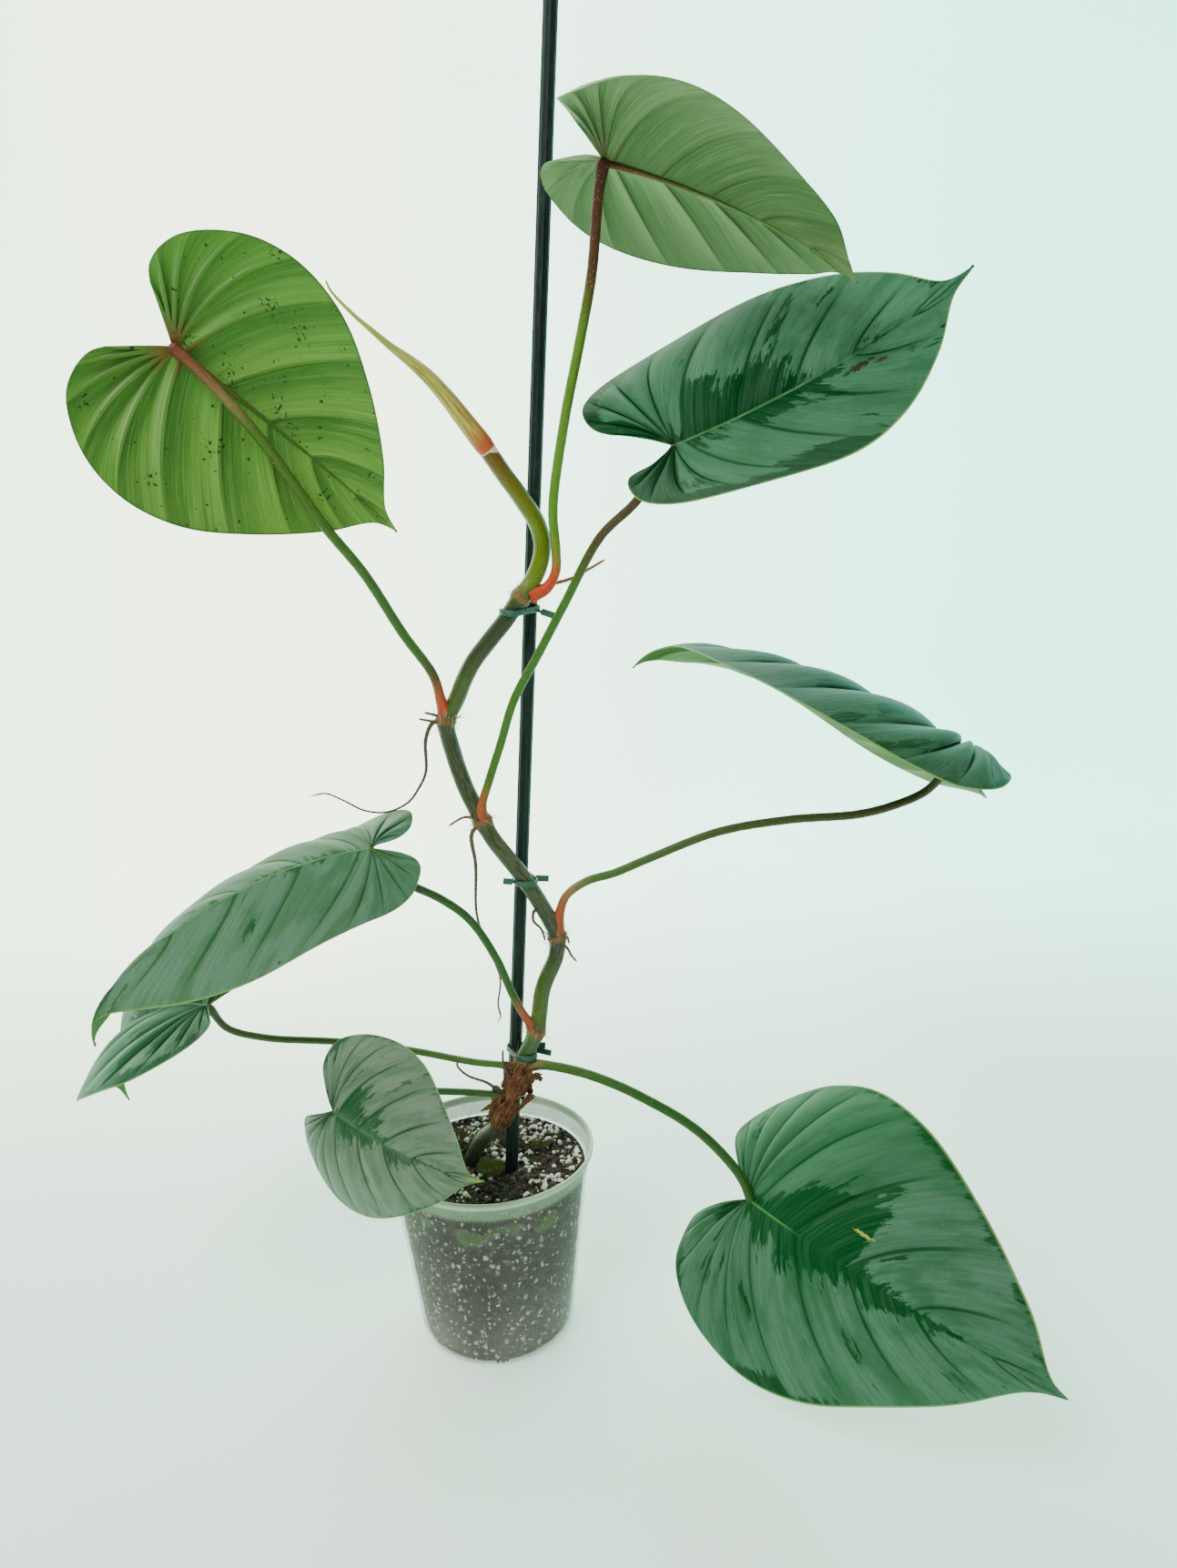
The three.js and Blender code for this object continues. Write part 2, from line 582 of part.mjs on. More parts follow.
function tieSolid({ height, tails }) {
  const share = Array.from({ length: 401 }, (_, i) => i / 400)
    .find((t) => stemPath.getPoint(t).z > height);
  const stemAt = stemPath.getPoint(share);
  const along = (height - STAKE_ENTRY.z) / STAKE_AXIS.z;
  const stakeAt = STAKE_ENTRY.clone().addScaledVector(STAKE_AXIS, along);
  const room = [STEM_RADIUS + 1, STAKE_RADIUS + 0.5];
  const loop = new THREE.Shape(belt(stemAt, room[0] + TIE_THICKNESS, stakeAt, room[1] + TIE_THICKNESS));
  loop.holes.push(new THREE.Path(belt(stemAt, room[0], stakeAt, room[1])));
  const ring = new THREE.ExtrudeGeometry(loop, { depth: TIE_WIDTH, bevelEnabled: false });
  ring.translate(0, 0, height - TIE_WIDTH / 2);
  const ends = tails.map((route) => tube(route.map(vector), () => 0.9, 5, 3));
  const tie = ends.reduce((body, end) => body.add(end), solid(ring));
  return largest(tie.subtract(stemRoom).subtract(stakeRoom).subtract(petioleRoom));
}

// Pot and soil

function lathe(profile, sides) {
  const points = profile.map(([radius, height]) => new THREE.Vector2(radius, height));
  return new THREE.LatheGeometry(points, sides).rotateX(Math.PI / 2);
}

// Rounded edge between the underside and the wall, inset by the wall's thickness for the inside
function footArc(inset) {
  return [0, 45, 90].map((angle) => [
    FOOT_RADIUS + (FOOT_ROUND - inset) * Math.sin(radians(angle)),
    FOOT_ROUND - (FOOT_ROUND - inset) * Math.cos(radians(angle)),
  ]);
}

function potSolid() {
  const collar = POT_HEIGHT - COLLAR_DROP;
  const body = solid(lathe([
    [0, 0], ...footArc(0),
    [COLLAR_RADIUS, collar], [RIM_RADIUS - 0.8, POT_HEIGHT - RIM_LIP - 0.5],
    [RIM_RADIUS, POT_HEIGHT - RIM_LIP], [RIM_RADIUS, POT_HEIGHT],
    [RIM_RADIUS - 1.8, POT_HEIGHT], [RIM_RADIUS - 2.2, POT_HEIGHT - RIM_LIP],
    [COLLAR_RADIUS - POT_WALL, collar], ...footArc(POT_WALL).reverse(), [0, POT_WALL],
  ], POT_SIDES));
  const slots = Array.from({ length: DRAIN_SLOTS }, (_, i) => {
    const slot = new THREE.BoxGeometry(8, SLOT_WIDTH, 2 * SLOT_HEIGHT);
    slot.translate(FOOT_RADIUS + FOOT_ROUND, 0, 0);
    return solid(slot.rotateZ(radians(-97 + (360 / DRAIN_SLOTS) * i)));
  });
  return slots.reduce((pot, slot) => pot.subtract(slot), body);
}

// Height of the crumbs over the mean level at a place on the soil
function crumbs(x, y) {
  const coarse = Math.sin(0.21 * x + 1.3) * Math.sin(0.19 * y + 0.4);
  const fine = Math.sin(0.55 * x - 0.3 * y) * Math.sin(0.48 * y + 0.25 * x + 2);
  return SOIL_LUMP * (0.6 * coarse + 0.5 * fine);
}

function soilSolid() {
  const inset = POT_WALL + GAP;
  const edge = COLLAR_RADIUS - inset - 0.1;
  const rings = [1, 0.93, 0.76, 0.58, 0.4, 0.2].map((share) => [edge * share, SOIL_LEVEL - 0.5]);
  const geometry = lathe([[0, inset], ...footArc(inset), ...rings, [0, SOIL_LEVEL - 0.5]], SOIL_SIDES);
  const position = geometry.attributes.position;
  for (let i = 0; i < position.count; i++) {
    const [x, y, z] = [position.getX(i), position.getY(i), position.getZ(i)];
    const fromEdge = 1 - Math.hypot(x, y) / edge;
    if (z > SOIL_LEVEL - 1) position.setZ(i, z + crumbs(x, y) * Math.min(1, 8 * fromEdge));
  }
  const draw = drawer(7);
  let soil = solid(geometry);
  for (let i = 0; i < PERLITE_GRAINS; i++) {
    const [distance, angle] = [(edge - 5) * Math.sqrt(draw()), 2 * Math.PI * draw()];
    const [x, y] = [distance * Math.cos(angle), distance * Math.sin(angle)];
    const grain = new THREE.OctahedronGeometry(PERLITE_SIZE * (0.6 + 0.6 * draw()));
    grain.rotateX(3 * draw()).rotateY(3 * draw()).translate(x, y, SOIL_LEVEL - 0.1 + crumbs(x, y));
    soil = soil.add(solid(grain));
  }
  return largest(soil.subtract(stemRoom).subtract(stakeRoom));
}

// The plant

const LEAF_GREEN = { color: 0x6f9474, roughness: 0.45, metalness: 0 };
const STEM_GREEN = { color: 0x6d7a4c, roughness: 0.55, metalness: 0 };
const SPEAR_GREEN = { color: 0x9aa850, roughness: 0.4, metalness: 0 };
const DRY_BROWN = { color: 0x8f5b3a, roughness: 0.85, metalness: 0 };
const TIE_GREEN = { color: 0x1c4a38, roughness: 0.45, metalness: 0 };
const STAKE_GREEN = { color: 0x1f3434, roughness: 0.4, metalness: 0 };
const POT_CLEAR = { color: 0xc6cfc2, roughness: 0.35, metalness: 0, transparent: true, opacity: 0.6 };
const SOIL_BLACK = { color: 0x2a221d, roughness: 0.95, metalness: 0 };

const plant = new THREE.Group();
plant.add(named('pot', potSolid(), POT_CLEAR));
plant.add(named('soil', soilSolid(), SOIL_BLACK));
plant.add(named('stake', stakeSolid(), STAKE_GREEN));
plant.add(named('main_stem', stemSolid(), STEM_GREEN));
plant.add(named('new_leaf_spear', spearSolid(), SPEAR_GREEN));
LEAVES.forEach(({ name }, i) => plant.add(named(name, leaves[i], LEAF_GREEN)));
TIES.forEach((tie) => plant.add(named(tie.name, tieSolid(tie), TIE_GREEN)));
DRY_SHEATHS.forEach((sheath) => plant.add(named(sheath.name, drySheathSolid(sheath), DRY_BROWN)));

export default plant;
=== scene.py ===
# %% [markdown]
# # A potted philodendron, from its packed model to its looks
# The packed model gives pot, soil, stake, stem and leaves as plain solids, in their right places and
# sizes. This lesson grows finer pieces over them: veined blades, a ringed stem, crumbly soil and a
# milky pot.

# %% Load the packed model
import math

import bmesh
import bpy
import numpy as np
from mathutils import Matrix, Vector


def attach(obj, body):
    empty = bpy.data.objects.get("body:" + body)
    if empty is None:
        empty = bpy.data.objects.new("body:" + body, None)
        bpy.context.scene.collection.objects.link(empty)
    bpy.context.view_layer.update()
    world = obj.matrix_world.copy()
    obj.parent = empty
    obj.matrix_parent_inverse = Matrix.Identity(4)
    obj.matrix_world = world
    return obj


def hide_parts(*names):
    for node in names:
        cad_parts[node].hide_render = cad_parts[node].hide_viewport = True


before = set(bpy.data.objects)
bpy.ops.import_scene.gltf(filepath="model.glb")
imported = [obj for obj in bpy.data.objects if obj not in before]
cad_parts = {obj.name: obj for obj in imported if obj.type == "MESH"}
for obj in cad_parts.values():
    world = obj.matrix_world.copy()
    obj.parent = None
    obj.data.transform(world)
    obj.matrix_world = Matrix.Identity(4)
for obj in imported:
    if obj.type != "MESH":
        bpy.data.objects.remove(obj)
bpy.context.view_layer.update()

MM = 0.001                     # the plant is described in millimetres, and Blender counts in metres

# %% [markdown]
# ## The camera
# The plant was seen from just above its middle, with the camera tipped down. A camera could be aimed
# with a constraint, but its three axes keep the exact turn, tilt and roll that the pot's rim gave.

# %% Place the camera
CAMERA_PLACE = Vector((0, -0.611, 0.485))
YAW, PITCH, ROLL = (math.radians(angle) for angle in (5.96, -14.42, -1.74))
LENS = 27.06

ahead = Vector((math.sin(YAW) * math.cos(PITCH), math.cos(YAW) * math.cos(PITCH), math.sin(PITCH)))
level_right = Vector((math.cos(YAW), -math.sin(YAW), 0))
level_up = level_right.cross(ahead)
right = level_right * math.cos(ROLL) + level_up * math.sin(ROLL)
up = level_up * math.cos(ROLL) - level_right * math.sin(ROLL)


def set_down(name, data):
    """A new object in the scene, of a mesh, a lamp or a camera."""
    thing = bpy.data.objects.new(name, data)
    bpy.context.scene.collection.objects.link(thing)
    return thing


camera_data = bpy.data.cameras.new("camera")
camera_data.lens = LENS
camera_data.clip_start = 0.02
camera = set_down("camera", camera_data)
camera.matrix_world = Matrix.Translation(CAMERA_PLACE) @ Matrix((right, up, -ahead)).transposed().to_4x4()
bpy.context.scene.camera = camera
print("the camera looks along", [round(v, 3) for v in ahead])

# %% [markdown]
# ## Writing materials as sums
# A material is a tree of nodes. Wiring one by hand takes many lines, so a small class wraps a
# socket, and adding, subtracting, multiplying or dividing sockets adds the Math nodes for it. Finish
# holds one material: node adds any other node, and short names cover what every finish here needs.

# %% A socket that does maths
def math_operator(operation, turned_round=False):
    """An operator of Wire that adds one Math node."""
    def apply(self, other):
        pair = (other, self) if turned_round else (self, other)
        return self.finish.node("Math", {"operation": operation}, pair)
    return apply


class Wire:
    """One output of a node in a finish."""

    def __init__(self, finish, socket):
        self.finish = finish
        self.socket = socket

    __add__, __radd__ = math_operator("ADD"), math_operator("ADD", True)
    __sub__, __rsub__ = math_operator("SUBTRACT"), math_operator("SUBTRACT", True)
    __mul__, __rmul__ = math_operator("MULTIPLY"), math_operator("MULTIPLY", True)
    __truediv__, __rtruediv__ = math_operator("DIVIDE"), math_operator("DIVIDE", True)


print("sockets can be added, subtracted, multiplied and divided")


# %% A material on the bench
COLOUR_A, COLOUR_B, MIXED = 6, 7, 2      # a Mix node's two colour inputs, and its colour output


def rgba(colour):
    """A colour socket takes four numbers, and the last is 1."""
    return (*colour, 1) if len(colour) == 3 else colour


class Finish:
    """A material in the making: node adds one node and hands back the socket that it gives."""

    def __init__(self, name, **sockets):
        self.material = bpy.data.materials.new(name)
        self.material.use_nodes = True
        self.tree = self.material.node_tree
        self.shader = self.tree.nodes["Principled BSDF"]
        self.set(**sockets)

    def plug(self, node, key, value):
        """Links a wire to an input, or writes a plain value on it."""
        if isinstance(value, Wire):
            self.tree.links.new(value.socket, node.inputs[key])
        else:
            socket = node.inputs[key]
            socket.default_value = rgba(value) if socket.type == "RGBA" else value

    def node(self, kind, settings=None, inputs=(), output=0):
        """Any node: its type, its settings, and the values or wires of its inputs."""
        made = self.tree.nodes.new("ShaderNode" + kind)
        for key, value in (settings or {}).items():
            if key == "stops":
                for place, colour in value[2:]:
                    made.color_ramp.elements.new(place)
                for element, (place, colour) in zip(made.color_ramp.elements, value):
                    element.position = place
                    element.color = rgba(colour)
            else:
                setattr(made, key, value)
        for key, value in inputs.items() if isinstance(inputs, dict) else enumerate(inputs):
            self.plug(made, key, value)
        return Wire(self, made.outputs[output])

    def set(self, **sockets):
        """Values or wires for the shader's own sockets, such as Base_Color."""
        for name, value in sockets.items():
            self.plug(self.shader, name.replace("_", " "), value)

    def mark(self, name, output="Fac"):
        """A number that the mesh carries at its corners, or three with the output Vector."""
        return self.node("Attribute", {"attribute_name": name}, output=output)

    def place(self):
        """Where a point lies in the plant, in metres."""
        return self.node("TexCoord", output="Object")

    def parts(self, vector):
        return [self.node("SeparateXYZ", {}, [vector], output=i) for i in range(3)]

    def vector(self, x, y, z=0.0):
        return self.node("CombineXYZ", {}, [x, y, z])

    def stretch(self, vector, factors):
        return self.node("VectorMath", {"operation": "MULTIPLY"}, [vector, factors])

    def cloud(self, vector, scale=1.0, detail=2.0, roughness=0.5):
        """Soft noise from 0 to 1. A higher scale gives smaller clouds."""
        return self.node("TexNoise", {}, {
            "Vector": vector, "Scale": scale, "Detail": detail, "Roughness": roughness})

    def grains(self, vector, scale, output="Distance"):
        """Cells round scattered points: the distance to the point, or a colour drawn for each cell."""
        return self.node("TexVoronoi", {}, {"Vector": vector, "Scale": scale}, output=output)

    def ruffle(self, vector, noise_place, scale, reach):
        """The same places, pushed about by noise, so that what is drawn there gets ragged edges."""
        push = self.node("TexNoise", {}, {"Vector": noise_place, "Scale": scale}, output="Color")
        return self.node("VectorMath", {"operation": "ADD"}, [vector, self.stretch(push, (reach,) * 3)])

    def step(self, value, low, high):
        """0 below low, 1 above high and a soft rise between them."""
        return self.node("MapRange", {"interpolation_type": "SMOOTHSTEP"}, {
            "Value": value, "From Min": low, "From Max": high})

    def size(self, value):
        return self.node("Math", {"operation": "ABSOLUTE"}, [value])

    def most(self, one, other):
        return self.node("Math", {"operation": "MAXIMUM"}, [one, other])

    def mix(self, share, under, over, blend="MIX"):
        """The share of the second colour laid over the first."""
        return self.node("Mix", {"data_type": "RGBA", "blend_type": blend}, {
            0: share, COLOUR_A: under, COLOUR_B: over}, output=MIXED)

    def ramp(self, value, stops):
        """Colours along a number from 0 to 1, each stop a place and its colour."""
        return self.node("ValToRGB", {"stops": stops}, [value])

    def bump(self, height, depth_mm):
        self.set(Normal=self.node("Bump", {}, {
            "Height": height, "Distance": depth_mm * MM, "Strength": 1.0}, output="Normal"))


print("a finish knows", [name for name in vars(Finish) if not name.startswith("_")])


# %% [markdown]
# ## Floor and light
# A plant studio has a pale sweep of paper under and behind the plant, a large soft light from the
# front left, weaker ones from the right and behind, and a bright room. Large lights give the soft gloss
# of the leaves and a faint shadow. The paper glows like a lamp, as painted light that keeps its upright
# part bright, from cool green at the left through warm white to mint at the right.

# %% The pale sweep
SWEEP = [(-1.6, 0), (0.7, 0), (0.86, 0.02), (1.0, 0.09), (1.1, 0.2), (1.15, 0.36), (1.16, 0.6), (1.16, 2.6)]
SWEEP_HALF_WIDTH = 2.6
# painted light: the paper glows like a lamp, faintly on the floor and more on its upright part
FLOOR_PAINTED_LIGHT = (0.16, 0.24, 0.19)
UPRIGHT_PAINTED_LIGHT = [(0.0, (0.58, 1, 0.78)), (0.4, (1, 0.97, 0.7)), (1.0, (0.3, 1, 0.8))]     # from left to right

paper = Finish("sweep_paper", Roughness=0.9)
paper_place = paper.place()
paper_grain = paper.cloud(paper_place, 6, 3)
paper_x, paper_y, _ = paper.parts(paper_place)
# painted light: the upright paper's glow changes colour and brightness from left to right
paper_painted_light = paper.ramp(paper.step(paper_x, -1.2, 1.0), UPRIGHT_PAINTED_LIGHT)
paper.set(
    Base_Color=paper.mix(paper_grain, (0.72, 0.82, 0.77), (0.76, 0.85, 0.8)),
    Emission_Color=paper.mix(paper.step(paper_y, 0.0, 1.0), FLOOR_PAINTED_LIGHT, paper_painted_light),
    Emission_Strength=3.2)
sweep_mesh = bpy.data.meshes.new("sweep")
sweep_mesh.from_pydata(
    [(x, y, z) for y, z in SWEEP for x in (-SWEEP_HALF_WIDTH, SWEEP_HALF_WIDTH)], [],
    [(2 * i, 2 * i + 1, 2 * i + 3, 2 * i + 2) for i in range(len(SWEEP) - 1)])
sweep_mesh.materials.append(paper.material)
for face in sweep_mesh.polygons:
    face.use_smooth = True
set_down("sweep", sweep_mesh)
print(f"the paper reaches {SWEEP[-1][1]} m up behind the plant")

# %% The lights
PLANT_MIDDLE = Vector((0, 0, 0.33))
ROOM_COLOUR, ROOM_STRENGTH = (0.86, 0.95, 0.9), 0.22


def soft_light(name, place, size, watts, colour):
    """A square lamp that faces the middle of the plant."""
    lamp = bpy.data.lights.new(name, "AREA")
    lamp.size = size
    lamp.energy = watts
    lamp.color = colour
    holder = set_down(name, lamp)
    holder.location = place
    holder.rotation_euler = (PLANT_MIDDLE - Vector(place)).to_track_quat("-Z", "Y").to_euler()


soft_light("key_light", (-0.75, -1.0, 1.7), 0.7, 36, (1, 0.98, 0.93))
soft_light("fill_light", (1.3, -0.7, 0.8), 1.2, 4, (0.9, 1, 0.96))
soft_light("back_light", (0.3, 0.85, 1.5), 1.0, 8, (0.96, 1, 0.98))
room = bpy.data.worlds.new("room")
room.use_nodes = True
room.node_tree.nodes["Background"].inputs["Color"].default_value = rgba(ROOM_COLOUR)
room.node_tree.nodes["Background"].inputs["Strength"].default_value = ROOM_STRENGTH
bpy.context.scene.world = room
print("lit by 3 soft lights and a pale room")

# %% [markdown]
# ## Smooth lines
# Stem, stalks and roots follow smooth lines through a few measured points. A Blender curve would do
# too, but the solids' own formula, a centripetal Catmull-Rom curve, puts the fine pieces exactly there.

# %% A smooth line through points
def smooth_line(knots, steps=24):
    """The centripetal Catmull-Rom curve through the knots, with the same number of steps a span."""
    knots = np.array(knots, float)
    padded = np.vstack([2 * knots[0] - knots[1], knots, 2 * knots[-1] - knots[-2]])
    share = (np.arange(steps) / steps)[:, None]
    line = []
    for a, b, c, d in zip(padded, padded[1:], padded[2:], padded[3:]):
        before, span, after = (max(np.sum((q - p) ** 2) ** 0.25, 1e-4) for p, q in ((a, b), (b, c), (c, d)))
        leave = ((b - a) / before - (c - a) / (before + span) + (c - b) / span) * span
        arrive = ((c - b) / span - (d - b) / (span + after) + (d - c) / after) * span
        line.append(b + leave * share + (3 * (c - b) - 2 * leave - arrive) * share ** 2
                    + (2 * (b - c) + leave + arrive) * share ** 3)
    return np.vstack(line + [knots[-1:]])


def run_of(line):
    """How far along the line each of its points lies."""
    return np.concatenate([[0], np.cumsum(np.linalg.norm(np.diff(line, axis=0), axis=1))])


def evenly(line, count):
    """The line again, with that many points at equal distances."""
    run = run_of(line)
    wanted = np.linspace(0, run[-1], count)
    return np.stack([np.interp(wanted, run, line[:, i]) for i in range(line.shape[1])], axis=1)


def unit(vectors):
    """The same directions with length 1."""
    return vectors / np.maximum(np.linalg.norm(vectors, axis=-1, keepdims=True), 1e-9)


trial = smooth_line([(0, 0, 0), (10, 0, 0), (10, 10, 0)])
print(f"a trial line round a 10 mm corner runs {run_of(trial)[-1]:.1f} mm")

# %% [markdown]
# ## The plant bench
# A Shape gathers points, faces and marks, which are numbers that a finish reads later, such as how
# far along a stalk a point lies. Marks belong to the corners of faces, so that points can be joined
# without mixing their marks. make turns a Shape into a piece that rides on the packed model.

# %% Gather points, faces and marks
class Shape:
    """Points in millimetres, faces and marks of one piece."""

    def __init__(self):
        self.points, self.faces, self.finishes, self.marks = [], [], [], {}
        self.total = 0

    def add(self, points, faces, finish=0, **marks):
        """Adds a part. finish is the number of its material, and a mark is one value or one a point."""
        points = np.asarray(points, float).reshape(-1, 3)
        for name, values in marks.items():
            values = np.asarray(values, float)
            width = 3 if values.ndim == 2 and values.shape[-1] == 3 else 1
            values = np.broadcast_to(values.reshape(-1, width), (len(points), width))
            self.marks.setdefault(name, []).append((self.total, values))
        self.faces.extend(tuple(int(i) + self.total for i in face) for face in faces)
        self.finishes.extend([finish] * len(faces))
        self.points.append(points)
        self.total += len(points)

    def corner_marks(self, name):
        """The mark of every corner of every face, 0 where a part has none."""
        values = np.zeros((self.total, self.marks[name][0][1].shape[1]))
        for start, part in self.marks[name]:
            values[start:start + len(part)] = part
        return values[[i for face in self.faces for i in face]]


print("a new shape holds", Shape().total, "points")


# %% Make a piece of a shape
WELD_DISTANCE = 2e-6            # metres: points closer than this become one


def make(shape, name, finishes, replaced=(), crease=50, weld=True):
    """A Blender piece of the shape, with sharp edges where faces meet at more than crease degrees."""
    mesh = bpy.data.meshes.new(name)
    mesh.from_pydata(np.vstack(shape.points) * MM, [], shape.faces)
    for finish in finishes:
        mesh.materials.append(finish.material)
    mesh.polygons.foreach_set("material_index", shape.finishes)
    for mark in shape.marks:
        values = shape.corner_marks(mark)
        kind, field = ("FLOAT", "value") if values.shape[1] == 1 else ("FLOAT_VECTOR", "vector")
        mesh.attributes.new(mark, kind, "CORNER").data.foreach_set(field, values.astype(np.float32).ravel())
    if weld:
        work = bmesh.new()
        work.from_mesh(mesh)
        bmesh.ops.remove_doubles(work, verts=work.verts, dist=WELD_DISTANCE)
        work.to_mesh(mesh)
        work.free()
    mesh.polygons.foreach_set("use_smooth", [True] * len(mesh.polygons))
    mesh.set_sharp_from_angle(angle=math.radians(crease))
    piece = set_down(name, mesh)
    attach(piece, "root")
    if replaced:
        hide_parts(*replaced)
    print(f"{name}: {len(mesh.polygons)} faces")
    return piece


# %% Grids of faces
def grid_faces(rows, columns, closed=False, start=0):
    """Faces of a grid whose rows follow each other. A closed grid joins its last column to its first."""
    faces = []
    for row in range(rows - 1):
        for column in range(columns if closed else columns - 1):
            after = (column + 1) % columns
            a, b = start + row * columns, start + (row + 1) * columns
            faces.append((a + column, a + after, b + after, b + column))
    return faces


def tube_faces(rows, sides):
    """Faces of a closed grid, with a fan at each end round the two points that follow it."""
    last, cap = (rows - 1) * sides, rows * sides
    faces = grid_faces(rows, sides, closed=True)
    faces += [(cap, (i + 1) % sides, i) for i in range(sides)]
    return faces + [(cap + 1, last + i, last + (i + 1) % sides) for i in range(sides)]


def add_turned(shape, profile, sides):
    """Turns a profile of (radius, height) that starts and ends near the axis, and closes it there."""
    angle = np.linspace(0, 2 * np.pi, sides, endpoint=False)
    rings = [[(r * math.cos(a), r * math.sin(a), z) for a in angle] for r, z in profile]
    points = np.vstack([np.array(rings).reshape(-1, 3), [(0, 0, profile[0][1]), (0, 0, profile[-1][1])]])
    shape.add(points, tube_faces(len(profile), sides))


print("a closed grid of 3 rows by 8 has", len(grid_faces(3, 8, closed=True)), "faces")

# %% Rods along a path
def directions_across(path):
    """Two directions square to the path at each of its points, which turn as little as they can."""
    ahead = unit(np.gradient(path, axis=0))
    side = np.cross(ahead[0], (0, 0, 1) if abs(ahead[0][2]) < 0.9 else (0, -1, 0))
    sides = []
    for heading in ahead:
        side = side - heading * np.dot(side, heading)
        side = side / np.linalg.norm(side)
        sides.append(side)
    sides = np.array(sides)
    return sides, np.cross(ahead, sides)


def add_rod(shape, path, radius, sides=12, finish=0, along=(0, 1), **marks):
    """A closed rod. radius(share, angle, run) gives its radius, and skin marks its section and run."""
    count = len(path)
    run = run_of(path)
    share = run / run[-1]
    angle = np.linspace(0, 2 * np.pi, sides, endpoint=False)
    side, other = directions_across(path)
    reach = np.broadcast_to(radius(share[:, None], angle[None, :], run[:, None]), (count, sides))
    across, upward = reach * np.cos(angle), reach * np.sin(angle)
    rings = path[:, None] + across[..., None] * side[:, None] + upward[..., None] * other[:, None]
    skin = np.stack([across, upward, np.broadcast_to(run[:, None], (count, sides))], axis=-1)
    points = np.vstack([rings.reshape(-1, 3), path[:1], path[-1:]])
    length = along[0] + (along[1] - along[0]) * np.concatenate([np.repeat(share, sides), [0, 1]])
    skin = np.vstack([skin.reshape(-1, 3), [[0, 0, 0], [0, 0, run[-1]]]])
    wide = {name: np.concatenate([np.repeat(values, sides), values[:1], values[-1:]])
            for name, values in marks.items()}
    shape.add(points, tube_faces(count, sides), finish, along=length, skin=skin, **wide)


print("the trial line starts across", directions_across(trial)[0][0])

# %% Balls and lumps
def ball_of(subdivisions):
    """Points and faces of a ball of radius 1."""
    work = bmesh.new()
    bmesh.ops.create_icosphere(work, subdivisions=subdivisions, radius=1)
    points = np.array([vert.co[:] for vert in work.verts])
    faces = [tuple(vert.index for vert in face.verts) for face in work.faces]
    work.free()
    return points, faces


BALLS = {level: ball_of(level) for level in (1, 2, 3)}


def turned(axis, degrees):
    return np.array(Matrix.Rotation(math.radians(degrees), 3, axis))


def add_lump(shape, place, radius, dice, level=2, rough=0.25, flat=1.0, along=0.0):
    """A grain or crumb: a ball whose points are pushed in and out at random, turned and set down."""
    points, faces = BALLS[level]
    points = points * (1 + rough * (dice.random((len(points), 1)) - 0.5) * 2)
    points = points * (radius * (0.75 + 0.5 * dice.random(3)))
    turn = turned("X", 360 * dice.random()) @ turned("Z", 360 * dice.random())
    points = points @ turn.T * (1, 1, flat)
    shape.add(points + place, faces, along=along)


print("the balls have", [len(faces) for _, faces in BALLS.values()], "faces")

# %% [markdown]
# ## The stake
# A slim dark stake stands behind the stem, a steel tube in a dark green plastic coat with fine
# lengthwise ribs, a point in the soil and a rounded top. A cylinder with a bump would look smooth at
# its edges, so it is drawn as a rod whose radius changes with the angle, in eight low ribs.

# %% The stake's rod
STAKE_RADIUS, STAKE_RIB, STAKE_RIBS = 3.6, 0.25, 8
STAKE_LENGTH, STAKE_DEPTH = 744, 86
STAKE_POINT, STAKE_DOME = 14, 3                 # lengths of the pointed foot and the rounded top
STAKE_ENTRY = np.array([11.7, -9, 104])         # where its middle meets the soil
STAKE_AXIS = unit(np.array([0.0776, 0.0288, 1]))

dome_rows = np.sin(np.radians([0, 20, 40, 58, 74, 88]))
stake_heights = np.concatenate([
    [0.05, 0.5, 1.2, 4, 9, STAKE_POINT], np.arange(26, 736, 12),
    STAKE_LENGTH - STAKE_DOME + STAKE_DOME * dome_rows])
stake_foot = STAKE_ENTRY - STAKE_AXIS * STAKE_DEPTH


def stake_radius(share, angle, run):
    """The plain radius with the pointed foot, the rounded top and, above the foot, the ribs."""
    height = run + stake_heights[0]
    foot = np.interp(height, [0, 1, STAKE_POINT], [0.05, STAKE_RADIUS * 0.35, STAKE_RADIUS])
    top = np.sqrt(np.clip(1 - ((height - STAKE_LENGTH + STAKE_DOME) / STAKE_DOME) ** 2, 0.01, 1))
    rib = STAKE_RIB * (np.abs(np.cos(STAKE_RIBS / 2 * angle)) ** 1.5 * 2 - 2)
    return np.where(height > STAKE_LENGTH - STAKE_DOME, foot * top, foot) + rib * (height > 10)


stake_shape = Shape()
add_rod(stake_shape, stake_foot + stake_heights[:, None] * STAKE_AXIS, stake_radius, sides=96)
print(f"the stake is {STAKE_LENGTH} mm long, {STAKE_DEPTH} mm of it in the soil")

# %% [markdown]
# ## The stake's coat
# The plastic coat is nearly smooth and softly glossy. A flat colour would look new, so slow noise
# drawn out along the stake lays paler, duller scuffs over the dark green.

# %% The stake's coat
coat = Finish("stake_coat", Specular_IOR_Level=0.25)
coat_scuffs = coat.cloud(coat.stretch(coat.mark("skin", "Vector"), (1, 1, 0.12)), 0.8, 4)
coat.set(
    Base_Color=coat.mix(coat.step(coat_scuffs, 0.45, 0.8), (0.002, 0.01, 0.009), (0.014, 0.032, 0.026)),
    Roughness=0.34 + 0.3 * coat_scuffs)
coat.bump(coat.cloud(coat.mark("skin", "Vector"), 2.2, 2), 0.12)
make(stake_shape, "stake_ribbed", [coat], ["stake"])

# %% [markdown]
# ## The pot
# The pot is one thin moulded wall: a flat foot with a rounded edge and fine rings, a plain taper, a
# collar line and a rolled rim. It could be a bevelled cylinder, but one turned profile gives every
# edge its own rows, outside, over the rim and down the inside.

